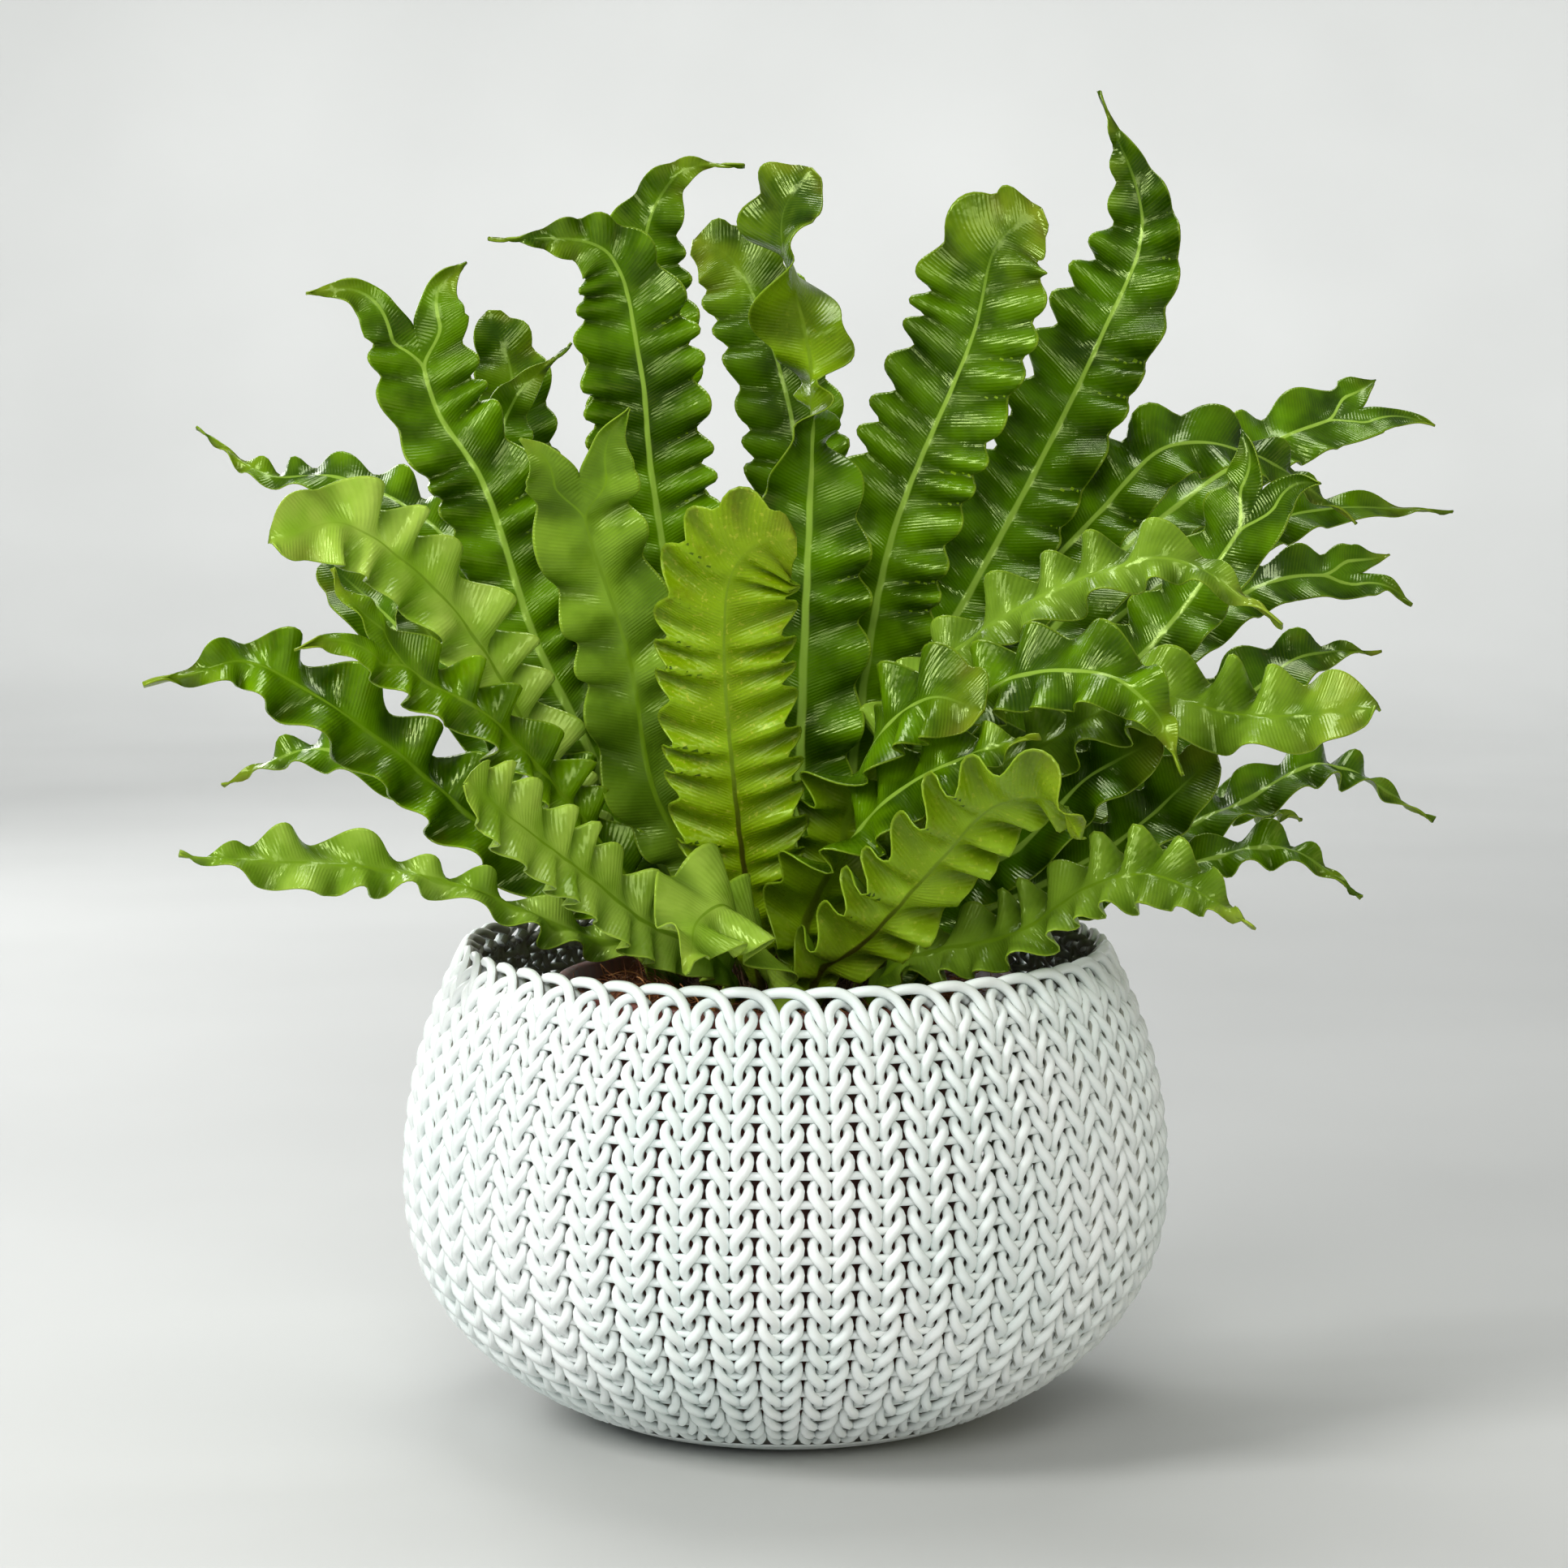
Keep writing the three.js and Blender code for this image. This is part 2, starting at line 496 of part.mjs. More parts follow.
/** Solid from a middle surface: the same triangles on both faces and a wall along the open edge. */
function thicken({ points, thickness, triangles }, margin = 0) {
  const normals = points.map(() => new THREE.Vector3());
  const faceNormals = triangles.map(([a, b, c]) => {
    const normal = new THREE.Vector3()
      .crossVectors(points[b].clone().sub(points[a]), points[c].clone().sub(points[a]));
    for (const vertex of [a, b, c]) normals[vertex].add(normal);
    return normal.normalize();
  });
  normals.forEach((normal) => normal.normalize());
  const slope = points.map(() => 1);
  triangles.forEach((triangle, k) => {
    for (const vertex of triangle) {
      slope[vertex] = Math.min(slope[vertex], Math.max(0.5, normals[vertex].dot(faceNormals[k])));
    }
  });
  const positions = [];
  for (const side of [0.5, -0.5]) {
    points.forEach((point, k) => {
      const offset = (side * (thickness[k] + 2 * margin)) / slope[k];
      positions.push(...point.clone().addScaledVector(normals[k], offset).toArray());
    });
  }
  const index = [];
  const edges = new Map();
  for (const [a, b, c] of triangles) {
    index.push(a, b, c, points.length + a, points.length + c, points.length + b);
    for (const [from, to] of [[a, b], [b, c], [c, a]]) {
      if (!edges.delete(`${to} ${from}`)) edges.set(`${from} ${to}`, [from, to]);
    }
  }
  for (const [from, to] of edges.values()) {
    index.push(from, points.length + from, points.length + to, from, points.length + to, to);
  }
  const geometry = new THREE.BufferGeometry();
  geometry.setAttribute('position', new THREE.Float32BufferAttribute(positions, 3));
  geometry.setIndex(index);
  return geometry;
}

/** Room that a stipe needs in the crown: its first stretch, a little wider all round and longer at the foot. */
function stipeSleeve(frond, stations, number) {
  const { points, thickness, triangles } = bladeSheet(frond, stations, number);
  const perRow = 3;
  const room = points.slice(0, 2 * perRow).map((point) => point.clone());
  const foot = room[1].clone().sub(room[4]).normalize().multiplyScalar(2 * GAP);
  for (const row of [0, perRow]) {
    const middle = room[row + 1];
    for (const k of [row, row + 2]) {
      const outward = room[k].clone().sub(middle).normalize();
      room[k].addScaledVector(outward, 2 * GAP);
    }
  }
  for (let k = 0; k < perRow; k += 1) room[k].add(foot);
  return thicken({ points: room, thickness: thickness.slice(0, 2 * perRow), triangles: triangles.slice(0, 4) }, 1.5 * GAP);
}

/** Low dome of old stipe bases, with a plain hole for each stipe. */
function crownGeometry(sleeves) {
  const sides = 24;
  const bottom = SOIL_TOP - CROWN_DEPTH;
  const dome = [1, 0.7].map((part) => ring(sides, CROWN_RADIUS * part, crownTop(CROWN_RADIUS * part)));
  const body = toSolid(ringSolid([
    centre(bottom),
    ring(sides, CROWN_RADIUS, bottom),
    ...dome,
    centre(crownTop(0)),
  ]));
  return toGeometry(sleeves.reduce((solid, sleeve) => solid.subtract(toSolid(sleeve)), body));
}

function material(colour, roughness) {
  return new THREE.MeshStandardMaterial({ color: colour, roughness, metalness: 0 });
}

/** Named mesh with its material. */
function part(name, geometry, look) {
  const mesh = new THREE.Mesh(geometry, look);
  mesh.name = name;
  return mesh;
}

function buildPlant() {
  const plant = new THREE.Group();
  const spots = crownSpots();
  const ribs = FRONDS.map((frond, k) => ribStations(frond, spots[k]));
  const sleeves = FRONDS.map((frond, k) => stipeSleeve(frond, ribs[k], k));
  plant.add(part('planter', planterGeometry(), material(COLOURS.planter, 0.45)));
  plant.add(part('nursery_pot', potGeometry(), material(COLOURS.pot, 0.6)));
  plant.add(part('potting_mix', soilGeometry(), material(COLOURS.soil, 0.95)));
  plant.add(part('crown', crownGeometry(sleeves), material(COLOURS.crown, 0.9)));
  const leaf = material(COLOURS.frond, 0.35);
  FRONDS.forEach((frond, k) => {
    plant.add(part(`frond_${frond.name}`, thicken(bladeSheet(frond, ribs[k], k)), leaf));
  });
  return plant;
}

export default buildPlant();
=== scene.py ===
"""Potted bird's nest fern with crisp, waved fronds in a knitted-look planter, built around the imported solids.

Lengths are in millimetres until a mesh is made, and meshes are in metres. The front looks along -Y, +Z is up.
"""
import math
from types import SimpleNamespace

import bpy
import numpy as np
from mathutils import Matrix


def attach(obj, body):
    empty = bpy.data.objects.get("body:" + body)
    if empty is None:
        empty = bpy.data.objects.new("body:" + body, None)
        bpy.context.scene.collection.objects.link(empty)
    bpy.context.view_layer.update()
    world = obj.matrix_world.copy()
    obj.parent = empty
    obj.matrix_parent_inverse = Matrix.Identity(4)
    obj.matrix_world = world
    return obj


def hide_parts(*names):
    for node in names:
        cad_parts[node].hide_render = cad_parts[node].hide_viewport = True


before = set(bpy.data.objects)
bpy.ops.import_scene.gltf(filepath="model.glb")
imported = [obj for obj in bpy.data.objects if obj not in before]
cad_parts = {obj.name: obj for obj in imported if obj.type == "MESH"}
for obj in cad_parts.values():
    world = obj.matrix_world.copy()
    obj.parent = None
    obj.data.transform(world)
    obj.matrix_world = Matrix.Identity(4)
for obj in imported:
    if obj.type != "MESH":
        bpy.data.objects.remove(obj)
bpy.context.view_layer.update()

MM = 0.001
TAU = 2 * math.pi
TINY = 1e-12

# The photograph's camera, in metres: its focal length is 5128 pixels of an image 1932 pixels wide
CAMERA_AT = (-0.0006, -1.5, 0.396)
CAMERA_DOWN = math.radians(6.3)
SENSOR = 36.0
LENS = SENSOR * 5128 / 1932

# The planter's wall, as in the solids: an ellipse above its widest ring and a fuller curve below it
PLANTER_HEIGHT = 175.0
BELLY_RADIUS = 140.0
BELLY_HEIGHT = 89.0
UPPER_REACH = 156.0
UPPER_POWER = 2.0
LOWER_REACH = 97.0
LOWER_POWER = 2.2

# Its plain base: height at which the wall's radius is taken, what is added to it, and the point's height
BASE_PROFILE = ((0, -1.5, 0), (0, 0.5, 0.6), (3, -0.4, 3), (6, -1.0, 6), (8, -2.4, 7.4), (7, -5, 6.4),
                (3, -6, 4.4))
BASE_TOP = 4.4

# Knitted wall: pairs of chains of stitches round it, and the heights of their rows
WALES = 50
WALE_TURN = -0.013
ROW_HEIGHTS = (160.8, 151.8, 142.4, 133.1, 123.7, 114, 104.3, 94.6, 85, 75.3, 65.7, 56.5, 47.8, 39.6, 31.7,
               24.5, 18, 12.5, 8)

# A stitch leg: its radius, half the width and the depth of its swing, its place beside the pair's middle, how
# far it swings and its ends hook round, and the height of two rows at which it has its full radius
STRAND = 2.06
CHAIN_HALF = 2.62
CHAIN_DEPTH = 1.5
CHAIN_OFFSET = 4.1
LEG_REACH = 0.92 * math.pi
UPPER_HOOK = 0.7
LOWER_HOOK = 0.85
FULL_ROWS = 18.6
LEG_STEPS = 12

# Bars behind the rows: radius, the radius and upper limit of the lowest ones, and depth behind the wall
BAR_RADIUS = 1.6
LOW_BAR_RADIUS = 1.0
LOW_BARS_UNDER = 30
BAR_DEPTH = 4.2
BAR_STEPS = 156
BAR_SIDES = 6

# Rim strands, as across, run from the rim and depth, from the middle of the chain that leans left
ARCH = ((-18.9, -2.4, 4.0), (-16.6, -1.9, 2.3), (-13.6, -1.7, 0.8), (-10.0, -1.7, 0.1), (-6.4, -2.1, 0.0),
        (-3.0, -3.8, 0.0), (-0.4, -6.9, 0.1), (1.3, -10.7, 0.3), (2.3, -13.5, 0.8), (1.9, -16.0, 2.4),
        (0.8, -17.6, 3.4))
RISER = ((-0.6, -6.6, 5.2), (-2.6, -4.9, 4.6), (-5.0, -4.4, 3.2), (-7.6, -5.7, 1.8), (-9.6, -8.0, 0.9),
         (-10.4, -10.8, 0.5), (-10.1, -13.4, 0.9), (-9.0, -15.6, 2.2), (-7.8, -17.2, 3.3))

# Nursery pot, as in the solids, with the lip's points as steps inwards and down from its rim
POT_TOP = 160.0
POT_RIM = 84.0
POT_BASE = 58.0
POT_FLOOR = 4.8
POT_WALL = 2.0
POT_LIP = 2.5
LIP_HEIGHT = 9
LIP_PROFILE = ((0.2, 1.2), (0.6, 0.3), (1.4, 0), (2.8, 0.2), (POT_LIP + POT_WALL, 1.4))
POT_RINGS = (30, 31, 60, 90, 91, 120)
POT_SEEN_INSIDE = 110

# Potting mix: its solid's top and depth, its rings and sides, and its unevenness as seed, cell and height
SOIL_TOP = 151.0
SOIL_DEPTH = 30
SOIL_RINGS = 46
SOIL_SIDES = 220
SOIL_LAYERS = ((1, 9, 1.7), (2, 3.6, 0.9), (4, 1.7, 0.5))
NOISE_CELLS = 64

# Low heaps of coir that show over the planter's rim at the front left: place, height and spread
SOIL_HEAPS = ((-52, -42, 13, 19), (-16, -65, 9, 14))

# Loose coir: its distances from the middle, and how far it may reach
FIBRES_FROM = 48
FIBRES_TO = 76
FIBRES_LIMIT = 78.0
FIBRE_STEPS = 9

# Crown, as in the solids, and its scales
CROWN_FLOOR = 142
CROWN_RADIUS = 50.0
CROWN_EDGE = 3.0
CROWN_RISE = 8.0
CROWN_RINGS = (48, 42, 34, 24, 12, 0)
SCALES = 900
SCALE_STEPS = 5

# Places of the stipes in the crown, as in the solids, and the stipes
SPOT_SPACING = 10.5
SPOT_RADIUS = 42.0
SPOT_PULL = 0.62
SPOT_ROUNDS = 300
STIPE_DEPTH = 6.0
STIPE_WIDTH = 4.6
STIPE_THICKNESS = 3.0

# Steps along a blade, coarse where its tip lies further back than this, and its columns as shares of the half
FINE_STEP = 1.4
COARSE_STEP = 2.0
COARSE_BEYOND = 60
COLUMNS = np.array([0.25, 0.47, 0.66, 0.82, 0.94, 1.0])

# Blade: half its thickness, the least half width, the rib's half width and how far it stands out above and
# below, the share of its length in which the stipe thins out, and the rise of its margins
BLADE_HALF = 0.26
LEAST_HALF_WIDTH = 0.35
RIB_HALF = 1.3
RIB_ABOVE = 0.85
RIB_BELOW = 1.25
STOUT_SHARE = 0.22
CUP = 0.12

# Tips: share of the length at which each starts, what a tail keeps of the width and where, the length
# over which a fork's rib parts, the share of a frond below its fork, and the steps along an arm
TIP_START = {"tail": 0.76, "blunt": 0.86, "fork": 0.0}
TAIL_END = 0.03
TAIL_NARROWED = 0.86
FORK_SPLIT = 15.0
FORK_AT = 0.8
ARM_STEP = 1.5

# Waves: gain on their height, the share in which they rise, where they sink, over what share and by how much,
# and how far they widen the blade
WAVE_GAIN = 1.2
WAVE_RISE = 0.25
SINK_FROM = 0.8
SINK_OVER = 0.2
SINK_BY = {"tail": 0.6, "blunt": 0.6, "fork": 0.4}
WAVE_WIDENS = 0.16

# Lateral veins: from one to the next, and how far each lags with its way off the rib
VEIN_SPACING = 1.2
VEIN_LAG = -0.42

# What a frond has unless it says otherwise: a fork's arms, by length and turn in degrees; its twist in
# degrees, and where that starts and ends; its waist's place, spread and depth; the share in which it widens;
# how far it looks up; sharp folds and puffed ones; its underside to the front; a brown rib, specks, paleness
USUAL = {"arms": (), "twist": (0, 0, 1), "waist": (0.5, 0.1, 0.0), "slender": 0.4, "tilt": 45, "crimp": 0.0,
         "pillow": None, "underside": False, "dark_rib": 0.0, "speckle": 0.15, "pale": 0.0}


def leaf(name, width, wave, period, tip, tone, rib, **more):
    """A frond by width, its waves' height and length, its tip, its tone from deep to light and its rib."""
    made = SimpleNamespace(name=name, width=width, wave=wave, period=period, tip=tip, tone=tone, rib=rib,
                           **{**USUAL, **more})
    if made.pillow is None:
        made.pillow = 0.75 * (1 - made.crimp)
    return made


FRONDS = [
    leaf("upright_1", 43, 4.4, 18, "tail", 0.25, [(10, 15, 185), (32, 22, 240), (68, 32, 298),
         (117, 47, 392), (132, 53, 433), (116, 60, 482)]),
    leaf("upright_2", 46, 3.8, 14.5, "blunt", 0.4, [(18, -4, 197), (24, -4, 236), (38, -4, 319),
         (67, -4, 392), (76, -4, 425), (91, -4, 437)]),
    leaf("upright_3", 44, 4.5, 21, "blunt", 0.3, [(5, -18, 196), (5, -18, 234), (9, -18, 348),
         (9, -18, 382), (-1, -18, 433), (9, -18, 451)], twist=(330, 0.55, 1), waist=(0.72, 0.12, 0.45)),
    leaf("upright_4", 37, 3.8, 16, "blunt", 0.4, [(7, 30, 217), (5, 56, 305), (2, 72, 362),
         (-20, 90, 420), (-35, 95, 428)]),
    leaf("upright_5", 42, 3.8, 13.5, "tail", 0.35, [(-20, 4, 190), (-35, -2, 265), (-48, -9, 343),
         (-52, -13, 383), (-64, -16, 422), (-105, -20, 426)]),
    leaf("upright_6", 40, 3.8, 16, "tail", 0.45, [(-20, 22, 217), (-46, 32, 307), (-52, 37, 372),
         (-52, 40, 427), (-38, 42, 452), (-15, 44, 454)]),
    leaf("upright_7", 37, 4.2, 23, "fork", 0.7, [(-20, -18, 185), (-46, -31, 229), (-55, -44, 280),
         (-69, -58, 327), (-71, -62, 343)], arms=((21, 50), (26, 46)), slender=0.6, pale=0.2),
    leaf("upright_8", 45, 4, 12, "blunt", 0.85, [(-12, -38, 185), (-18, -65, 239), (-21, -83, 288),
         (-18, -93, 313), (-9, -99, 323), (3, -104, 325)], pillow=0.5, underside=True, dark_rib=1, speckle=1),
    leaf("left_1", 37, 4, 16, "fork", 0.4, [(-67, 8, 231), (-91, 13, 281), (-111, 19, 340),
         (-127, 21, 365), (-135, 24, 394)], arms=((40, 88), (28, 68)), slender=0.55),
    leaf("left_2", 30, 4, 17, "tail", 0.3, [(-54, 28, 213), (-93, 47, 288), (-108, 55, 336),
         (-102, 61, 367), (-80, 66, 389)], slender=0.55),
    leaf("left_3", 28, 4, 17, "blunt", 0.25, [(-54, 50, 212), (-95, 85, 304), (-107, 107, 384),
         (-115, 112, 401)], slender=0.55),
    leaf("left_4", 25, 3.6, 21, "tail", 0.5, [(-64, 60, 201), (-109, 97, 284), (-137, 116, 318),
         (-174, 134, 336), (-205, 146, 337), (-234, 160, 355)], tilt=60, pillow=0.3),
    leaf("left_5", 31, 6.5, 20, "blunt", 0.65, [(-78, -26, 221), (-99, -53, 272), (-114, -66, 297),
         (-128, -76, 313), (-151, -89, 329), (-173, -100, 323)], slender=0.45, pillow=0.3, speckle=0.3,
         pale=0.8),
    leaf("left_6", 24, 6.5, 19, "fork", 0.68, [(-59, -30, 202), (-86, -63, 243), (-106, -84, 266),
         (-120, -91, 274), (-138, -102, 289)], arms=((32, 50), (28, 26)), tilt=40, pillow=0.25, speckle=0.9),
    leaf("left_7", 30, 8, 25, "tail", 0.6, [(-61, -10, 185), (-100, -23, 211), (-147, -39, 253),
         (-189, -51, 279), (-203, -55, 276), (-223, -60, 271)], tilt=38, pillow=0.2, speckle=0.7),
    leaf("left_8", 22, 3.6, 24, "tail", 0.4, [(-62, 18, 192), (-110, 27, 214), (-172, 47, 238),
         (-195, 54, 232), (-212, 60, 223)], slender=0.55, tilt=50, pillow=0.3),
    leaf("left_9", 33, 5.4, 22, "tail", 0.6, [(-37, -36, 173), (-68, -45, 180), (-114, -58, 201),
         (-150, -68, 209), (-179, -77, 212), (-208, -86, 215)], waist=(0.56, 0.2, 0.58), slender=0.8, tilt=40,
         pillow=0.2, speckle=0.4, pale=0.5),
    leaf("left_10", 31, 4.6, 14.5, "blunt", 0.75, [(-25, -56, 175), (-49, -78, 191), (-67, -97, 209),
         (-84, -115, 225), (-105, -140, 246)], tilt=38, crimp=0.15, pillow=0.55, speckle=0.5, pale=0.6),
    leaf("left_11", 28, 4.5, 22, "blunt", 0.2, [(-40, 15, 189), (-64, 24, 244), (-91, 34, 306),
         (-99, 34, 321)], slender=0.55),
    leaf("left_12", 28, 4.5, 22, "blunt", 0.25, [(-72, 34, 198), (-110, 59, 244), (-138, 76, 273),
         (-177, 100, 306)], slender=0.55),
    leaf("left_13", 26, 4.5, 20, "blunt", 0.3, [(-44, -4, 199), (-80, -6, 231), (-108, -11, 261),
         (-138, 1, 296)], slender=0.55),
    leaf("right_1", 38, 6, 16, "blunt", 0.8, [(12, -64, 172), (26, -80, 184), (51, -104, 215),
         (70, -122, 237), (88, -134, 240), (97, -142, 228)], crimp=0.2, pillow=0.4, underside=True,
         dark_rib=1, speckle=0.7, pale=0.1),
    leaf("right_2", 30, 5.2, 15, "tail", 0.7, [(40, -50, 172), (80, -71, 186), (105, -88, 205),
         (122, -97, 210), (138, -107, 206), (157, -120, 195)], tilt=50, crimp=0.15, pillow=0.4, speckle=0.5,
         pale=0.25),
    leaf("right_3", 18, 4.5, 18, "tail", 0.4, [(68, -8, 177), (106, -11, 189), (141, -14, 201),
         (178, -17, 209), (207, -20, 192)], tilt=50, speckle=0.4),
    leaf("right_4", 24, 4.5, 20, "tail", 0.35, [(69, 8, 180), (108, 14, 197), (168, 34, 219),
         (200, 41, 233), (243, 50, 211)], tilt=62, speckle=0.6),
    leaf("right_5", 31, 6.5, 24, "blunt", 0.7, [(46, -22, 216), (94, -54, 252), (124, -70, 268),
         (159, -86, 263), (199, -105, 268)], pillow=0.3, speckle=0.4, pale=0.2),
    leaf("right_6", 33, 5, 22, "tail", 0.5, [(40, -40, 206), (55, -56, 241), (73, -77, 273),
         (110, -107, 278), (124, -116, 266), (132, -125, 247)], slender=0.6, pillow=0.4),
    leaf("right_7", 36, 4, 24, "tail", 0.2, [(70, 28, 193), (109, 45, 222), (172, 59, 256),
         (194, 66, 271), (226, 74, 273)], speckle=0.6),
    leaf("right_8", 25, 4, 22, "fork", 0.3, [(70, 46, 203), (112, 70, 244), (147, 86, 273),
         (185, 99, 297), (221, 110, 300)], arms=((17, 10), (22, 56))),
    leaf("right_9", 27, 2.8, 27, "tail", 0.35, [(38, 46, 204), (104, 104, 262), (150, 130, 296),
         (204, 157, 321), (270, 185, 321)], pillow=0.4),
    leaf("right_10", 32, 4, 24, "fork", 0.35, [(26, 36, 206), (88, 87, 263), (127, 113, 305),
         (187, 146, 347), (228, 165, 362)], arms=((17, 18), (28, 54)), slender=0.6, pillow=0.4),
    leaf("right_11", 34, 4.5, 20, "tail", 0.3, [(48, 22, 231), (75, 33, 280), (116, 38, 327),
         (142, 45, 351), (173, 51, 348), (214, 60, 322)]),
    leaf("right_12", 33, 4, 22, "fork", 0.35, [(59, -6, 212), (97, -11, 251), (132, -15, 283),
         (164, -19, 327), (168, -20, 335)], arms=((23, 60), (22, 70))),
    leaf("right_13", 26, 6, 22, "tail", 0.55, [(30, -24, 232), (46, -32, 267), (74, -50, 293),
         (108, -70, 311), (133, -80, 316), (168, -95, 295)], slender=0.6, pillow=0.4, pale=0.25),
    leaf("right_14", 36, 6, 20, "tail", 0.5, [(8, -54, 190), (18, -72, 212), (37, -87, 236),
         (64, -102, 252), (85, -112, 259)], twist=(90, 0.35, 0.6), underside=True, dark_rib=0.6),
    leaf("right_15", 36, 6, 20, "blunt", 0.4, [(18, -40, 203), (26, -61, 241), (37, -79, 261),
         (51, -92, 270), (67, -100, 266)], twist=(90, 0.45, 0.75), slender=0.6, underside=True),
    leaf("right_16", 28, 4.5, 22, "blunt", 0.15, [(58, -34, 194), (84, -44, 214), (106, -51, 238),
         (131, -60, 253)], speckle=0.7),
    leaf("right_17", 30, 4, 24, "blunt", 0.3, [(62, -27, 182), (87, -29, 195), (119, -34, 214),
         (152, -40, 245)]),
    leaf("front_1", 40, 6, 22, "tail", 0.85, [(-6, -62, 174), (-13, -84, 189), (-22, -102, 200),
         (-30, -113, 196), (-32, -136, 183)], slender=0.28, pillow=0.4, pale=0.55),
    leaf("back_1", 34, 5, 20, "tail", 0.3, [(22, 48, 174), (36, 78, 214), (62, 130, 246),
         (94, 192, 240)], slender=0.6),
    leaf("back_2", 35, 6, 17, "tail", 0.45, [(8, 50, 174), (34, 108, 204), (62, 170, 224),
         (84, 235, 205)]),
    leaf("back_3", 38, 5, 22, "blunt", 0.3, [(-2, 42, 190), (0, 84, 250), (8, 130, 296),
         (16, 188, 296)]),
    leaf("back_4", 34, 6, 16, "tail", 0.5, [(-8, 50, 170), (-14, 115, 198), (-22, 185, 213),
         (-30, 240, 193)]),
    leaf("back_5", 38, 5, 20, "tail", 0.35, [(-14, 32, 190), (-30, 72, 250), (-48, 130, 292),
         (-66, 190, 288)]),
    leaf("back_6", 34, 6, 17, "tail", 0.4, [(-24, 48, 170), (-48, 108, 210), (-74, 168, 238),
         (-102, 222, 222)]),
    leaf("back_7", 32, 5, 20, "tail", 0.3, [(-24, 38, 180), (-50, 86, 226), (-86, 132, 262),
         (-128, 174, 262)]),
    leaf("back_8", 30, 6, 17, "tail", 0.45, [(46, 46, 168), (94, 76, 192), (150, 108, 212),
         (206, 148, 200)]),
]


def smooth(x):
    """Smooth step from 0 to 1."""
    x = np.clip(x, 0, 1)
    return x * x * (3 - 2 * x)


def unit(a):
    return a / np.maximum(np.linalg.norm(a, axis=-1, keepdims=True), TINY)


def square(vector, axis):
    """Unit vector square to the axis, on the vector's side."""
    return unit(vector - axis * (vector * axis).sum(-1, keepdims=True))


def make_object(name, points, faces, material, attributes=None):
    """Mesh object from points in millimetres; faces is a list of arrays of quads or triangles."""
    faces = [np.asarray(f) for f in faces]
    mesh = bpy.data.meshes.new(name)
    mesh.vertices.add(len(points))
    mesh.vertices.foreach_set("co", (np.asarray(points, float) * MM).ravel())
    loops = np.concatenate([f.ravel() for f in faces])
    sizes = np.concatenate([np.full(len(f), f.shape[1]) for f in faces])
    mesh.loops.add(len(loops))
    mesh.loops.foreach_set("vertex_index", loops.astype(np.int32))
    mesh.polygons.add(len(sizes))
    mesh.polygons.foreach_set("loop_start", np.concatenate([[0], np.cumsum(sizes)[:-1]]).astype(np.int32))
    mesh.update(calc_edges=True)
    mesh.polygons.foreach_set("use_smooth", np.full(len(sizes), True))
    for key, values in (attributes or {}).items():
        values = np.asarray(values, float)
        kind, field = ("FLOAT", "value") if values.ndim == 1 else ("FLOAT_VECTOR", "vector")
        mesh.attributes.new(key, kind, "POINT").data.foreach_set(field, values.ravel())
    mesh.validate()
    thing = bpy.data.objects.new(name, mesh)
    bpy.context.collection.objects.link(thing)
    mesh.materials.append(material)
    return thing


def polar(radius, angle, z):
    """Points given by their distance from the upright axis, the angle round it and their height."""
    return np.stack(np.broadcast_arrays(radius * np.cos(angle), radius * np.sin(angle), z), -1)


def grid_quads(index):
    """Quads between the points of a grid, given by their numbers."""
    return np.stack([index[:-1, :-1], index[:-1, 1:], index[1:, 1:], index[1:, :-1]], -1).reshape(-1, 4)


def ring_index(rings, sides):
    """Numbers of the points on closed rings, which start at 1; each ring's first one also ends it."""
    return np.pad(1 + np.arange(rings * sides).reshape(rings, sides), ((0, 0), (0, 1)), "wrap")


def fan(middle, ring):
    """Triangles from one point to a ring's points."""
    return np.stack([np.full(len(ring) - 1, middle), ring[:-1], ring[1:]], -1)


def flipped(faces):
    """Faces that look the other way, each from the same first corner."""
    return np.hstack([faces[:, :1], faces[:, :0:-1]])


def lathe(profile, sides):
    """Closed surface of revolution; the profile starts and ends on the axis."""
    angle = np.arange(sides) * TAU / sides
    rings = [polar(r, angle, z) for r, z in profile[1:-1]]
    points = np.vstack([[(0, 0, profile[0][1])]] + rings + [[(0, 0, profile[-1][1])]])
    index = ring_index(len(rings), sides)
    return points, [grid_quads(index), flipped(fan(0, index[0])), fan(len(points) - 1, index[-1])]


def tubes(paths, radii, up, sides):
    """Closed tubes along many paths: paths [n, steps, 3], radii [n, steps] and upward directions [n, 3]."""
    count, steps, _ = paths.shape
    tangent = unit(np.gradient(paths, axis=1))
    side = unit(np.cross(tangent, np.broadcast_to(up[:, None], paths.shape)))
    lift = np.cross(side, tangent)
    angle = np.arange(sides) * TAU / sides
    ring = side[:, :, None] * np.cos(angle)[:, None] + lift[:, :, None] * np.sin(angle)[:, None]
    points = paths[:, :, None] + ring * radii[:, :, None, None]
    index = np.arange(count * steps * sides).reshape(count, steps, sides)
    after = np.roll(index, -1, axis=2)
    quads = np.stack([index[:, :-1], index[:, 1:], after[:, 1:], after[:, :-1]], -1).reshape(-1, 4)
    tips = np.concatenate([paths[:, 0], paths[:, -1]])
    first = (index.size + np.arange(count))[:, None] + np.zeros(sides, int)
    last = first + count
    caps = np.concatenate([np.stack([first, index[:, 0], after[:, 0]], -1).reshape(-1, 3),
                           np.stack([last, after[:, -1], index[:, -1]], -1).reshape(-1, 3)])
    return np.concatenate([points.reshape(-1, 3), tips]), [quads, caps]


def merge(parts):
    """One list of points and faces out of several."""
    points = []
    faces = []
    start = 0
    for part_points, part_faces in parts:
        points.append(part_points)
        faces += [f + start for f in part_faces]
        start += len(part_points)
    return np.concatenate(points), faces


# Materials

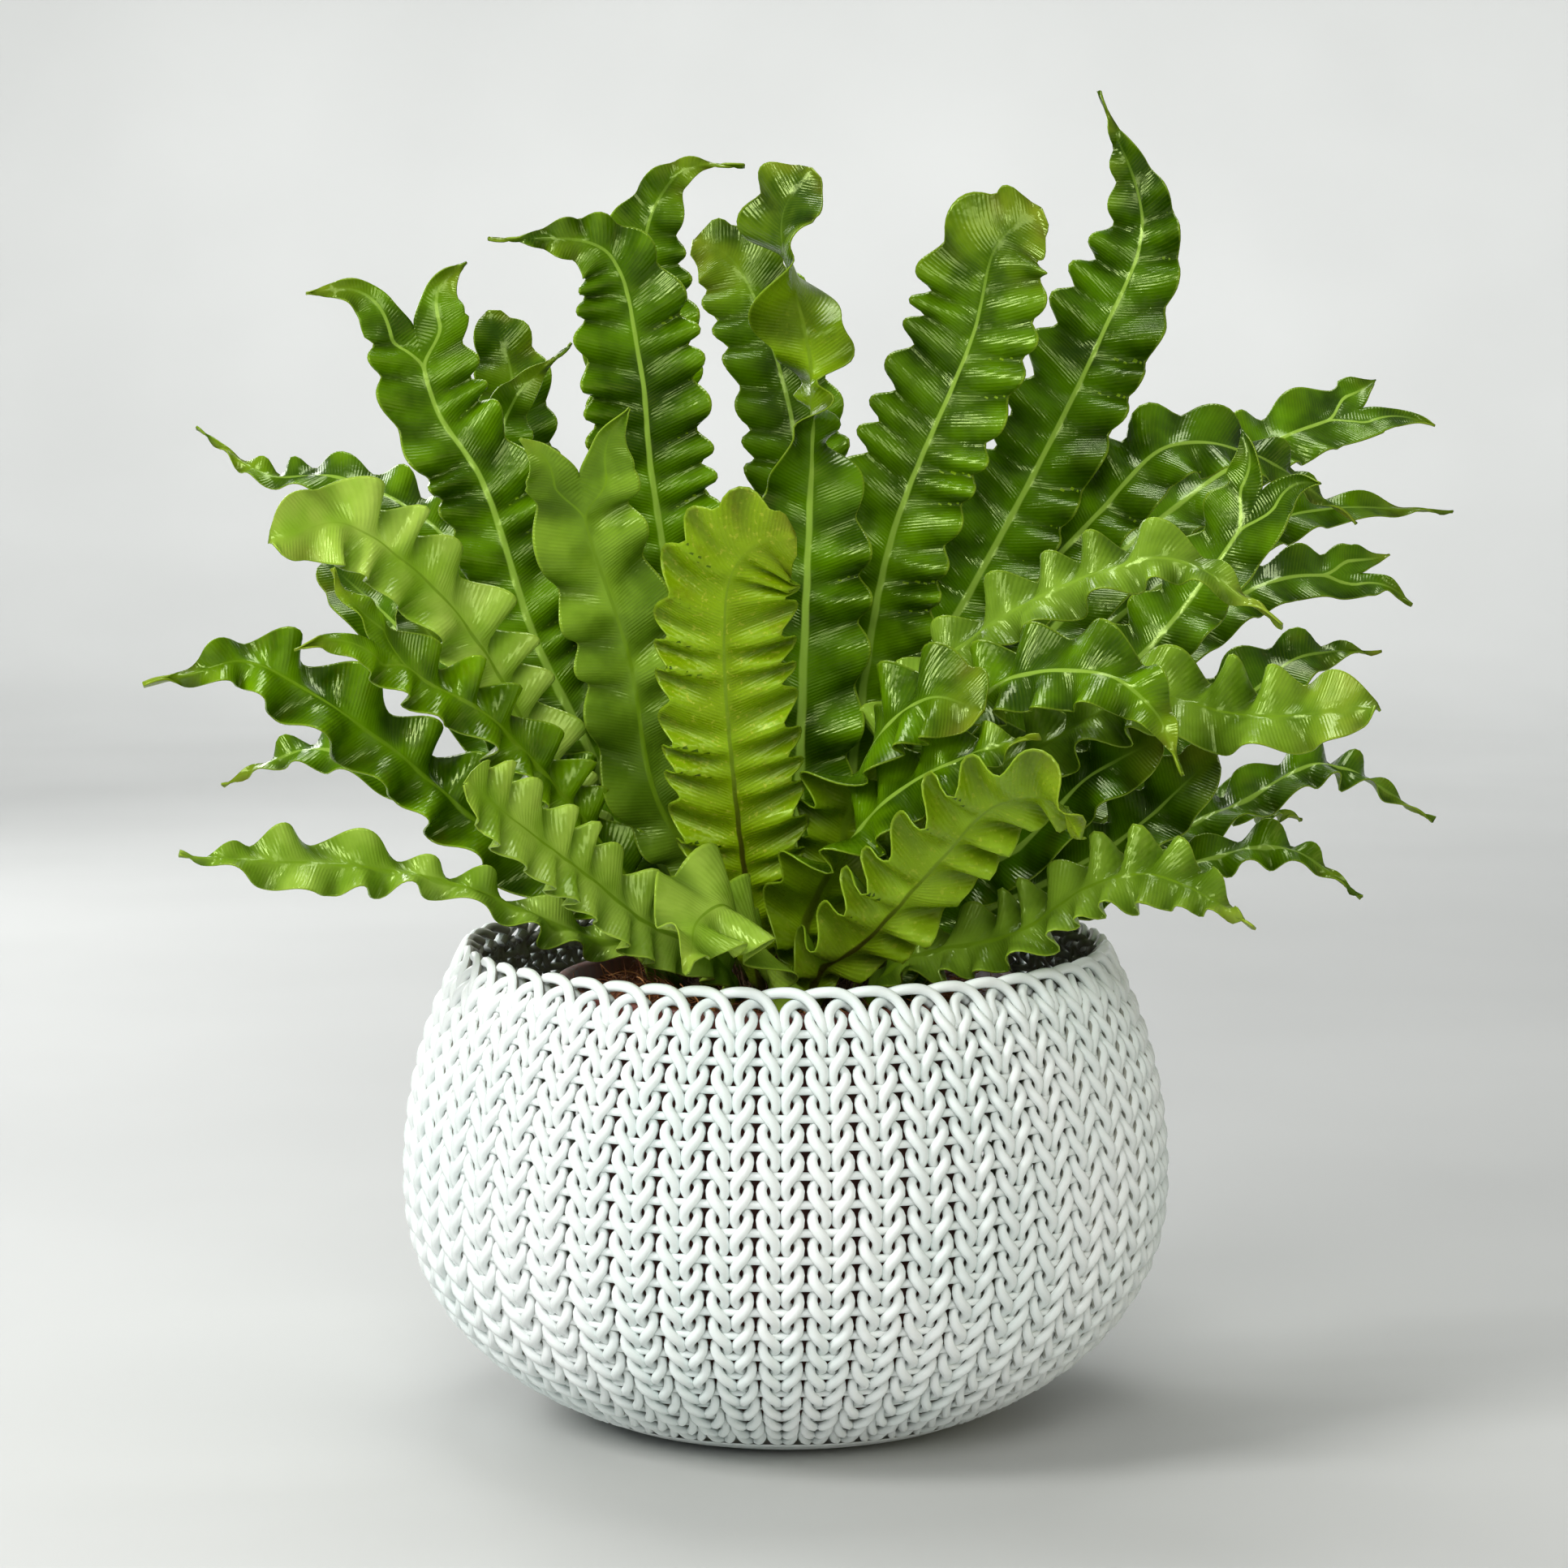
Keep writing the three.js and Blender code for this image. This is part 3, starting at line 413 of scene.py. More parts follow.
class Graph:
    """A material's node tree, with short names for the nodes that the looks use."""

    def __init__(self, name):
        self.material = bpy.data.materials.new(name)
        self.material.use_nodes = True
        self.tree = self.material.node_tree
        self.tree.nodes.clear()

    def node(self, kind, inputs=None, **settings):
        made = self.tree.nodes.new(kind)
        for key, value in settings.items():
            setattr(made, key, value)
        for key, value in (inputs or {}).items():
            if isinstance(value, bpy.types.NodeSocket):
                self.tree.links.new(value, made.inputs[key])
            else:
                made.inputs[key].default_value = value
        return made

    def math(self, operation, *values):
        return self.node("ShaderNodeMath", dict(enumerate(values)), operation=operation).outputs[0]

    def times(self, first, *others):
        for other in others:
            first = self.math("MULTIPLY", first, other)
        return first

    def vector_math(self, operation, *values):
        return self.node("ShaderNodeVectorMath", dict(enumerate(values)), operation=operation).outputs

    def ramp(self, value, low, high, to_low=0.0, to_high=1.0):
        return self.node("ShaderNodeMapRange", {"Value": value, "From Min": low, "From Max": high,
                                                "To Min": to_low, "To Max": to_high},
                         interpolation_type="SMOOTHSTEP").outputs["Result"]

    def mix(self, factor, a, b):
        """Mix of two colours, each a socket, sRGB or linear with an alpha; 6, 7 and 2 are colour sockets."""
        a, b = (linear(value) if isinstance(value, tuple) and len(value) == 3 else value for value in (a, b))
        return self.node("ShaderNodeMix", {"Factor": factor, 6: a, 7: b}, data_type="RGBA").outputs[2]

    def noise(self, vector, scale, detail=3.0, roughness=0.5):
        return self.node("ShaderNodeTexNoise", {"Vector": vector, "Scale": scale, "Detail": detail,
                                                "Roughness": roughness}).outputs["Fac"]

    def stretch(self, vector, scale):
        return self.node("ShaderNodeMapping", {"Vector": vector, "Scale": scale}).outputs[0]

    def attribute(self, name):
        """The three values of a mesh's attribute."""
        vector = self.node("ShaderNodeAttribute", attribute_name=name).outputs["Vector"]
        return self.node("ShaderNodeSeparateXYZ", {"Vector": vector}).outputs

    def position(self):
        return self.node("ShaderNodeTexCoord").outputs["Object"]

    def bump(self, height, strength, distance, inputs=None):
        return self.node("ShaderNodeBump", {"Height": height, "Strength": strength, "Distance": distance,
                                            **(inputs or {})}).outputs["Normal"]

    def principled(self, base, roughness, inputs=None):
        return self.node("ShaderNodeBsdfPrincipled", {"Base Color": base, "Roughness": roughness,
                                                      **(inputs or {})}).outputs[0]

    def finish(self, shader):
        self.node("ShaderNodeOutputMaterial", {"Surface": shader})
        return self.material


def linear(srgb):
    """Linear colour with an alpha, from an sRGB one from 0 to 255."""
    return tuple(((c / 255 + 0.055) / 1.055) ** 2.4 if c > 10 else c / 255 / 12.92 for c in srgb) + (1.0,)


def leaf_material():
    """Glossy leaf: lateral veins, pale rib and margin, duller underside, brown tinge and speckle, with painted
    shade and light on its folds.

    The attribute blade holds the way off the rib, the way along it and the share of the way to the margin.
    kind holds 1 on the underside, the tone and the share along. mood holds dark_rib, speckle and pale. crest
    is low in the valleys of the folds and high on their ridges, and sets where shade and light are painted.
    """
    g = Graph("leaf")
    across, along, edge = g.attribute("blade")
    under, tone, part = g.attribute("kind")
    dark_rib, speckle, pale = g.attribute("mood")
    crest = g.node("ShaderNodeAttribute", attribute_name="crest").outputs["Fac"]
    place = g.position()
    off_rib = g.math("ABSOLUTE", across)
    patch = g.noise(place, 45.0)
    fine = g.noise(place, 420.0)

    # Lines of the lateral veins
    slant = g.math("ADD", along, g.times(off_rib, VEIN_LAG))
    wobble = g.times(g.math("SUBTRACT", patch, 0.5), 5.0)
    vein = g.math("SINE", g.math("ADD", g.times(slant, TAU / VEIN_SPACING), wobble))
    vein = g.math("MULTIPLY_ADD", vein, 0.5, 0.5)
    vein_line = g.times(g.math("POWER", vein, 4.0), g.ramp(g.noise(place, 160.0, 2.0), 0.35, 0.65, 0.2, 1.0))

    # Upper face, and the underside with pale dots
    deep = g.mix(tone, (16, 42, 0), (60, 98, 0))
    light = g.mix(tone, (52, 102, 0), (138, 186, 4))
    top = g.mix(g.ramp(patch, 0.3, 0.7), deep, light)
    top = g.mix(g.times(vein_line, 0.12), top, (156, 190, 40))
    below = g.mix(tone, (58, 88, 0), (142, 176, 4))
    below = g.mix(g.ramp(patch, 0.35, 0.75), below, (146, 184, 18))
    below = g.mix(g.times(vein_line, 0.22), below, (92, 112, 10))
    dots = g.ramp(g.noise(place, 620.0, 2.0), 0.60, 0.68)
    below = g.mix(g.times(dots, g.math("MULTIPLY_ADD", speckle, 0.6, 0.06)), below, (190, 200, 60))
    body = g.mix(under, top, below)

    # Pale fronds, then painted shade in the valleys of the folds and painted light on their ridges
    body = g.mix(pale, body, g.mix(g.ramp(patch, 0.3, 0.7), (158, 202, 50), (204, 232, 104)))
    # Painted shade: the valleys of the folds are darkened towards a deep green
    painted_valley_shade = g.mix(pale, (20, 42, 0), (96, 136, 16))
    body = g.mix(g.ramp(crest, 0.1, -0.9, 0.0, 0.7), body, painted_valley_shade)
    # Painted light: the ridges of the folds are lightened towards a pale yellow-green
    ridge = g.mix(pale, (136, 184, 8), (206, 234, 110))
    body = g.mix(g.ramp(crest, 0.2, 1.0, 0.0, 0.3), body, ridge)

    # Brown blotches, a yellow tinge towards the tip and a pale margin
    blotch = g.times(g.ramp(g.noise(place, 110.0, 4.0, 0.65), 0.52, 0.74), g.times(speckle, 0.4))
    body = g.mix(g.times(blotch, g.ramp(edge, 0.15, 0.8)), body, (96, 78, 12))
    tinge = g.times(g.ramp(part, 0.84, 1.0), g.ramp(patch, 0.35, 0.7), 0.5)
    body = g.mix(tinge, body, (150, 146, 44))
    body = g.mix(g.times(g.ramp(edge, 0.95, 0.99), 0.4), body, (158, 188, 50))

    # Rib: pale on green fronds, plainer on yellow ones, and brown low down on some; then the dark foot
    plain = g.ramp(tone, 0.45, 0.62)
    rib_width = g.times(g.math("MULTIPLY_ADD", part, -1.9, 2.2), g.math("MULTIPLY_ADD", plain, -0.4, 1.0))
    on_rib = g.math("SUBTRACT", 1.0, g.ramp(g.math("DIVIDE", off_rib, rib_width), 0.65, 1.3))
    rib = g.mix(plain, (164, 202, 76), (122, 160, 26))
    rib = g.mix(under, rib, (120, 152, 26))
    rib = g.mix(g.times(dark_rib, g.ramp(part, 0.62, 0.3)), rib, (52, 26, 12))
    body = g.mix(g.times(on_rib, g.times(g.ramp(part, 0.98, 0.78), 0.85)), body, rib)
    body = g.mix(g.ramp(part, 0.10, 0.02), body, (52, 40, 20))

    # Relief, gloss and the light that comes through
    height = g.math("ADD", vein, g.times(fine, 0.6))
    normal = g.bump(g.times(height, g.ramp(off_rib, 0.8, 3.0)), 0.34, 0.00022)
    normal = g.bump(g.noise(place, 120.0), 0.4, 0.0014, {"Normal": normal})
    gloss = g.math("MULTIPLY_ADD", under, 0.1, g.ramp(fine, 0.3, 0.7, 0.16, 0.26))
    leaf = g.principled(body, gloss, {"Normal": normal, "Specular IOR Level": 0.65,
                                      "Specular Tint": (0.78, 1.0, 0.36, 1.0), "IOR": 1.45})
    through = g.mix(0.5, body, (168, 206, 0))
    glow = g.node("ShaderNodeBsdfTranslucent", {"Color": through, "Normal": normal}).outputs[0]
    return g.finish(g.node("ShaderNodeMixShader", {"Fac": 0.2, 1: leaf, 2: glow}).outputs[0])


def plastic_material():
    """Pale mint-white moulded plastic with a soft sheen and a faint relief, and painted shade where it faces
    inwards.
    """
    g = Graph("planter_plastic")
    place = g.position()
    tint = g.mix(g.ramp(g.noise(place, 16.0, 2.0), 0.3, 0.7), (232, 241, 239), (241, 246, 245))
    # Painted shade: where the plastic faces the planter's inside it is darkened to a grey
    outwards = g.vector_math("MULTIPLY", place, (1.0, 1.0, 0.0))[0]
    outwards = g.vector_math("NORMALIZE", outwards)[0]
    face = g.node("ShaderNodeNewGeometry").outputs["True Normal"]
    facing = g.vector_math("DOT_PRODUCT", outwards, face)["Value"]
    tint = g.mix(g.ramp(facing, 0.0, -0.5), tint, (160, 160, 150))
    gloss = g.ramp(g.noise(place, 260.0), 0.3, 0.7, 0.34, 0.46)
    normal = g.bump(g.noise(place, 900.0, 2.0), 0.12, 0.0002)
    return g.finish(g.principled(tint, gloss, {"Normal": normal, "Specular IOR Level": 0.45,
                                               "Subsurface Weight": 0.3,
                                               "Subsurface Radius": (0.004, 0.004, 0.004)}))


def pot_material():
    """Thin red-brown pot plastic with rubbed streaks and dust."""
    g = Graph("pot_plastic")
    place = g.position()
    worn = g.noise(g.stretch(place, (60.0, 60.0, 6.0)), 4.0, 4.0, 0.6)
    base = g.mix(g.ramp(worn, 0.35, 0.75), (84, 40, 34), (116, 60, 50))
    dust = g.ramp(g.noise(place, 180.0, 4.0), 0.55, 0.8)
    base = g.mix(g.times(dust, 0.4), base, (120, 92, 70))
    gloss = g.ramp(worn, 0.3, 0.8, 0.38, 0.6)
    return g.finish(g.principled(base, gloss, {"Normal": g.bump(worn, 0.2, 0.0006)}))


def soil_material():
    """Peat and coir: dark crumbs with rust-brown threads."""
    g = Graph("potting_mix")
    place = g.position()
    crumbs = g.node("ShaderNodeTexVoronoi", {"Vector": place, "Scale": 420.0}).outputs["Distance"]
    grit = g.noise(place, 900.0, 4.0, 0.7)
    threads = g.noise(g.stretch(place, (1.0, 5.0, 1.0)), 120.0, 4.0, 0.6)
    base = g.mix(g.ramp(grit, 0.3, 0.7), (58, 36, 24), (122, 76, 50))
    base = g.mix(g.ramp(threads, 0.55, 0.68), base, (164, 98, 56))
    normal = g.bump(g.math("ADD", crumbs, g.times(grit, 0.8)), 0.9, 0.0016)
    return g.finish(g.principled(base, 0.95, {"Normal": normal, "Specular IOR Level": 0.2}))


def fibre_material(name, pale, dark):
    """Dry fibre: two browns in patches and a matt surface."""
    g = Graph(name)
    place = g.position()
    base = g.mix(g.ramp(g.noise(place, 90.0), 0.3, 0.7), pale, dark)
    normal = g.bump(g.noise(place, 1500.0, 2.0), 0.4, 0.0003)
    return g.finish(g.principled(base, 0.75, {"Normal": normal, "Specular IOR Level": 0.3}))


def stage_material():
    g = Graph("stage")
    shade = g.ramp(g.noise(g.position(), 3.0, 2.0), 0.2, 0.8)
    return g.finish(g.principled(g.mix(shade, (0.50, 0.51, 0.50, 1), (0.54, 0.55, 0.54, 1)), 0.7))


# Fronds

def random_source(seed):
    """The solids' random numbers, so that every stipe stands where its solid does."""
    state = seed
    while True:
        state = state * 16807 % 2147483647
        yield state / 2147483647


def crown_top(radius):
    out = np.minimum(radius, CROWN_RADIUS) / CROWN_RADIUS
    return SOIL_TOP + CROWN_EDGE + CROWN_RISE * (1 - out ** 2)


def clamp_length(points, most):
    length = np.linalg.norm(points, axis=1, keepdims=True)
    return points * np.minimum(1, most / np.maximum(length, TINY))


def crown_spots():
    """Places of the stipes: each is drawn towards its frond, then they push each other apart."""
    draw = random_source(3)
    jitter = np.array([[next(draw) - 0.5, next(draw) - 0.5] for _ in FRONDS])
    spots = np.array([frond.rib[0][:2] for frond in FRONDS]) * SPOT_PULL + jitter
    spots = clamp_length(spots, SPOT_RADIUS)
    for _ in range(SPOT_ROUNDS):
        away = spots[:, None] - spots[None]
        distance = np.linalg.norm(away, axis=-1)
        close = (distance > 0) & (distance < SPOT_SPACING)
        push = np.where(close, (SPOT_SPACING - distance) / np.maximum(distance, TINY) / 4, 0)
        spots = clamp_length(spots + (away * push[..., None]).sum(1), SPOT_RADIUS)
    return spots


def rib_curve(points, step):
    """Centripetal curve through the points, at even steps, and its length."""
    p = np.asarray(points, float)
    q = np.vstack([2 * p[0] - p[1], p, 2 * p[-1] - p[-2]])
    fine = []
    for i in range(len(p) - 1):
        p0, p1, p2, p3 = q[i:i + 4]
        d0, d1, d2 = (math.sqrt(np.linalg.norm(b - a)) for a, b in ((p0, p1), (p1, p2), (p2, p3)))
        m1 = ((p1 - p0) / d0 - (p2 - p0) / (d0 + d1) + (p2 - p1) / d1) * d1
        m2 = ((p2 - p1) / d1 - (p3 - p1) / (d1 + d2) + (p3 - p2) / d2) * d1
        t = np.linspace(0, 1, 49)[1 if i else 0:, None]
        cubic = 2 * p1 - 2 * p2 + m1 + m2
        squared = 3 * p2 - 3 * p1 - 2 * m1 - m2
        fine.append(cubic * t ** 3 + squared * t ** 2 + m1 * t + p1)
    fine = np.vstack(fine)
    run = np.concatenate([[0], np.cumsum(np.linalg.norm(np.diff(fine, axis=0), axis=1))])
    count = max(8, round(run[-1] / step))
    at = np.linspace(0, run[-1], count + 1)
    return np.stack([np.interp(at, run, fine[:, k]) for k in range(3)], -1), run[-1]


def blade_frames(stations, frond):
    """Tangent, normal and lateral direction at each station, turned about the rib as the frond asks."""
    tangent = unit(np.gradient(stations, axis=0))
    rise = math.radians(frond.tilt)
    face = np.array([0, math.cos(rise) if frond.underside else -math.cos(rise), math.sin(rise)])
    normal = np.zeros_like(stations)
    normal[0] = square(face, tangent[0])
    for i in range(1, len(stations)):
        normal[i] = square(normal[i - 1], tangent[i])
    last = len(stations) - 1
    middle = round(last * 0.6)
    wished = square(face, tangent[middle])
    roll = math.atan2(np.cross(tangent[middle], normal[middle]) @ wished, normal[middle] @ wished)
    degrees, start, end = frond.twist
    s = np.arange(last + 1) / last
    turn = (roll + math.radians(degrees) * smooth((s - start) / (end - start)))[:, None]
    normal = normal * np.cos(turn) + np.cross(tangent, normal) * np.sin(turn)
    return tangent, normal, np.cross(tangent, normal)


def half_width(s, frond):
    """Half of the blade's width along it, from the stipe past the waist to the tip."""
    base = STIPE_WIDTH / frond.width
    grown = base + (1 - base) * smooth(s / frond.slender) ** 0.8
    start = TIP_START[frond.tip]
    t = np.clip((s - start) / (1 - start), 0, 1)
    if frond.tip == "fork":
        end = 1
    elif frond.tip == "tail":
        end = TAIL_END + (1 - TAIL_END) * (1 - np.minimum(1, t / TAIL_NARROWED) ** 1.3)
    else:
        end = np.sqrt(np.maximum(0, 1 - t ** 2.4))
    middle, spread, depth = frond.waist
    waist = 1 - depth * np.exp(-((s - middle) / spread) ** 2)
    return np.maximum(LEAST_HALF_WIDTH, frond.width / 2 * grown * end * waist)


def rib_columns(reach):
    """Columns across the blade at each station: the rib's middle and edges, and others out to the margins."""
    rib = np.minimum(RIB_HALF / reach, 0.12)[:, None]
    right = np.concatenate([rib, rib + (1 - rib) * COLUMNS], axis=1)
    return np.concatenate([-right[:, ::-1], np.zeros((len(reach), 1)), right], axis=1)


def margin_waves(run, length, frond, number):
    """Phase and height of the waves on the left half and on the right half, which vary on their own."""
    seed = np.random.default_rng(100 + number).uniform(0, 1, (2, 4))
    waves = length / frond.period
    phase = TAU * (waves * run * (1 + 0.05 * np.sin(9 * seed[:, 0])) + seed[:, 1])
    phase = phase + np.sin(TAU * (waves * run / 3.3 + seed[:, 2]))
    tall = WAVE_GAIN * frond.wave * (1 + 0.35 * np.sin(TAU * (waves * run / 2.7 + seed[:, 3])))
    tall = tall * smooth(run / WAVE_RISE)
    tall = tall * (1 - SINK_BY[frond.tip] * smooth((run - SINK_FROM) / SINK_OVER))
    return phase, tall


def blade_depths(run, x, reach, off_rib):
    """How far the upper and lower surface lie off the middle: a stout stipe, then a thin blade with a rib."""
    stout = smooth(run / STOUT_SHARE)
    thick = STIPE_THICKNESS / 2 * (1 - stout) + BLADE_HALF * stout
    bulge = np.exp(-(off_rib / (RIB_HALF * (1.6 - 0.9 * run))) ** 2) * (1 - 0.75 * run)
    round_off = np.sqrt(np.clip(1 - (x / reach) ** 2, 0.12, 1))
    shape = 1 - (1 - round_off) * (1 - stout)
    return (thick + RIB_ABOVE * bulge * stout) * shape, (thick + RIB_BELOW * bulge * stout) * shape


def blade_sheet(frond, spot, number):
    """Middle surface of a frond with its waves: points, quads, depths above and below, and attributes."""
    foot = (spot[0], spot[1], crown_top(math.hypot(*spot)) - STIPE_DEPTH)
    near = frond.rib[-1][1] < COARSE_BEYOND
    stations, length = rib_curve([foot, *frond.rib], FINE_STEP if near else COARSE_STEP)
    tangent, normal, lateral = blade_frames(stations, frond)
    s = np.linspace(0, 1, len(stations))
    run = s[:, None]
    half = half_width(s, frond)
    reach = half[:, None]
    u = rib_columns(half)
    rows, columns = u.shape
    amount = np.abs(u)
    side = np.where(u < 0, 0, 1)

    # The waves grow towards the margin, and lag behind there
    phase, tall = margin_waves(run, length, frond, number)
    phase = np.take_along_axis(phase, side, axis=1) - TAU * 0.3 * amount * reach / frond.period
    tall = np.take_along_axis(tall, side, axis=1)
    puff = 1.7 * (np.sqrt(np.cos(phase / 2) ** 2 + 0.02) - 0.66)
    form = (1 - frond.pillow) * np.cos(phase) + frond.pillow * puff
    swell = amount ** (0.75 + 0.55 * frond.crimp) * smooth(amount * 6)
    widened = WAVE_WIDENS * (1 - 0.4 * frond.crimp) * puff * smooth(run / 0.3) * swell
    x = reach * u * (1 + widened)
    lift = tall * form * swell + CUP * reach * u * u
    shift = (0.05 + 0.4 * frond.crimp) * tall * np.sin(2 * phase) * amount ** 2.5
    grid = (stations[:, None] + lateral[:, None] * x[..., None] + normal[:, None] * lift[..., None]
            + tangent[:, None] * shift[..., None])

    split = reach / 2 * smooth((run * length - length + FORK_SPLIT) / FORK_SPLIT) * (frond.tip == "fork")
    off_rib = np.abs(x) - split
    above, below = blade_depths(run, x, reach, off_rib)
    along = np.broadcast_to(run * length, u.shape)
    part = np.broadcast_to(run * (FORK_AT if frond.tip == "fork" else 1), u.shape)
    sheets = [{"points": grid.reshape(-1, 3), "above": above.ravel(), "below": below.ravel(),
               "blade": np.stack([off_rib, along, amount], -1).reshape(-1, 3), "part": part.ravel(),
               "crest": (form * swell).ravel()}]
    index = np.arange(rows * columns).reshape(rows, columns)
    quads = [grid_quads(index)]
    if frond.tip == "fork":
        middle = columns // 2
        start = index.size
        for sign, chosen in ((-1, slice(0, middle + 1)), (1, slice(middle, columns))):
            end = SimpleNamespace(at=stations[-1], tangent=tangent[-1], lateral=lateral[-1],
                                  normal=normal[-1], half=half[-1], length=length,
                                  across=amount[-1, chosen], lift=lift[-1, chosen],
                                  tall=tall[-1, chosen].mean(), phase=phase[-1, chosen].mean())
            arm = fork_arm(frond, sign, end)
            arm_index = start + np.arange(len(arm["points"])).reshape(-1, middle + 1)
            quads.append(grid_quads(np.vstack([index[-1, chosen], arm_index])))
            start += arm_index.size
            sheets.append(arm)
    joined = {key: np.concatenate([sheet[key] for sheet in sheets]) for key in sheets[0]}
    joined["quads"] = np.concatenate(quads)
    return joined


def fork_arm(frond, sign, end):
    """One arm of a forked tip, left at -1 or right at 1, which goes on from the blade's last row."""
    arm_length, turn = frond.arms[0 if sign < 0 else 1]
    steps = max(8, round(arm_length / ARM_STEP))
    t = np.arange(1, steps + 1)[:, None] / steps
    bend = sign * math.radians(turn) * smooth(1.15 * np.concatenate([[[0]], t]))
    way = np.cos(bend) * end.tangent + np.sin(bend) * end.lateral
    centre = end.at + end.lateral * sign * end.half / 2
    centre = centre + np.cumsum((way[1:] + way[:-1]) / 2 * arm_length / steps, axis=0)
    across = np.cos(bend[1:]) * end.lateral - np.sin(bend[1:]) * end.tangent
    v = (2 * end.across - 1) * sign
    span = end.half / 2 * (1 + 0.35 * np.sin(math.pi * t) * (1 - t)) * np.maximum(1 - t ** 1.4, 0.04)
    inner = np.where(v * sign < 0, 1 - 0.5 * smooth(t * arm_length / 11) * (1 - 0.6 * t), 1)
    x = span * v * inner
    ripple = end.tall * np.sin(TAU * t * arm_length / frond.period + end.phase)
    z = end.lift[None] * (1 - smooth(1.3 * t))
    z = z + smooth(t * 2) * (0.25 * v ** 2 * span + 0.55 * ripple * np.abs(v) ** 1.4)
    points = centre[:, None] + across[:, None] * x[..., None] + end.normal * z[..., None]
    ridge = np.exp(-(x / RIB_HALF) ** 2) * 0.25 * (1 - t)
    ahead = np.broadcast_to(end.length + t * arm_length, x.shape)
    edge = np.where(v * sign > 0, np.abs(v), np.abs(v) * smooth(t * 8))
    part = np.broadcast_to(FORK_AT + (1 - FORK_AT) * t, x.shape)
    return {"points": points.reshape(-1, 3), "above": (BLADE_HALF + ridge).ravel(),
            "below": (BLADE_HALF + 1.6 * ridge).ravel(),
            "blade": np.stack([sign * x, ahead, edge], -1).reshape(-1, 3), "part": part.ravel(),
            "crest": np.zeros(x.size)}


def thicken(sheet):
    """Closed thin solid from a middle surface: its quads on both faces, and a wall along the open edge."""
    points = sheet["points"]
    quads = sheet["quads"]
    a, b, c, d = (points[quads[:, k]] for k in range(4))
    face_normal = np.cross(c - a, d - b)
    normals = np.zeros_like(points)
    for k in range(4):
        np.add.at(normals, quads[:, k], face_normal)
    normals = unit(normals)
    count = len(points)
    top = points + normals * sheet["above"][:, None]
    bottom = points - normals * sheet["below"][:, None]
    edges = np.concatenate([quads[:, [k, (k + 1) % 4]] for k in range(4)])
    forward = edges[:, 0] * count + edges[:, 1]
    back = edges[:, 1] * count + edges[:, 0]
    start, end = edges[~np.isin(forward, back)].T
    wall = np.stack([start, start + count, end + count, end], -1)
    return np.concatenate([top, bottom]), [quads, quads[:, ::-1] + count, wall]


def build_fronds(material):
    spots = crown_spots()
    for number, frond in enumerate(FRONDS):
        sheet = blade_sheet(frond, spots[number], number)
        points, faces = thicken(sheet)
        count = len(sheet["points"])
        under = np.repeat([0.0, 1.0], count)
        attributes = {
            "blade": np.tile(sheet["blade"], (2, 1)),
            "kind": np.stack([under, np.full(2 * count, frond.tone), np.tile(sheet["part"], 2)], -1),
            "mood": np.broadcast_to([frond.dark_rib, frond.speckle, frond.pale], (2 * count, 3)),
            "crest": np.concatenate([sheet["crest"], -sheet["crest"]]),
        }
        piece = make_object(f"leaf_{frond.name}", points, faces, material, attributes)
        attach(piece, "root")
        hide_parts(f"frond_{frond.name}")


# Planter

def planter_radius(z):
    z = np.asarray(z, float)
    reach = np.where(z > BELLY_HEIGHT, UPPER_REACH, LOWER_REACH)
    power = np.where(z > BELLY_HEIGHT, UPPER_POWER, LOWER_POWER)
    return BELLY_RADIUS * (1 - (np.abs(z - BELLY_HEIGHT) / reach) ** power) ** (1 / power)


# The wall's side, from the base up: height, radius, run along it and the direction in which it climbs
SIDE_HEIGHTS = np.linspace(0, PLANTER_HEIGHT, 700)
SIDE_RADII = planter_radius(SIDE_HEIGHTS)
SIDE_RUN = np.concatenate([[0], np.cumsum(np.hypot(np.diff(SIDE_HEIGHTS), np.diff(SIDE_RADII)))])
SIDE_SLOPE = unit(np.stack([np.gradient(SIDE_RADII), np.gradient(SIDE_HEIGHTS)], -1))
ROW_RUNS = np.interp(ROW_HEIGHTS, SIDE_HEIGHTS, SIDE_RUN)
WALE_ANGLES = np.arange(WALES) * TAU / WALES - math.pi / 2 + WALE_TURN


def on_wall(angle, run, depth):
    """Points on the planter's wall: angle round it, run along its side from the base, depth inwards."""
    out_r = np.interp(run, SIDE_RUN, SIDE_SLOPE[:, 1])
    out_z = -np.interp(run, SIDE_RUN, SIDE_SLOPE[:, 0])
    height = np.interp(run, SIDE_RUN, SIDE_HEIGHTS) + np.maximum(run - SIDE_RUN[-1], 0)
    r = np.interp(run, SIDE_RUN, SIDE_RADII) - depth * out_r
    z = height - depth * out_z
    return polar(r, angle, z)


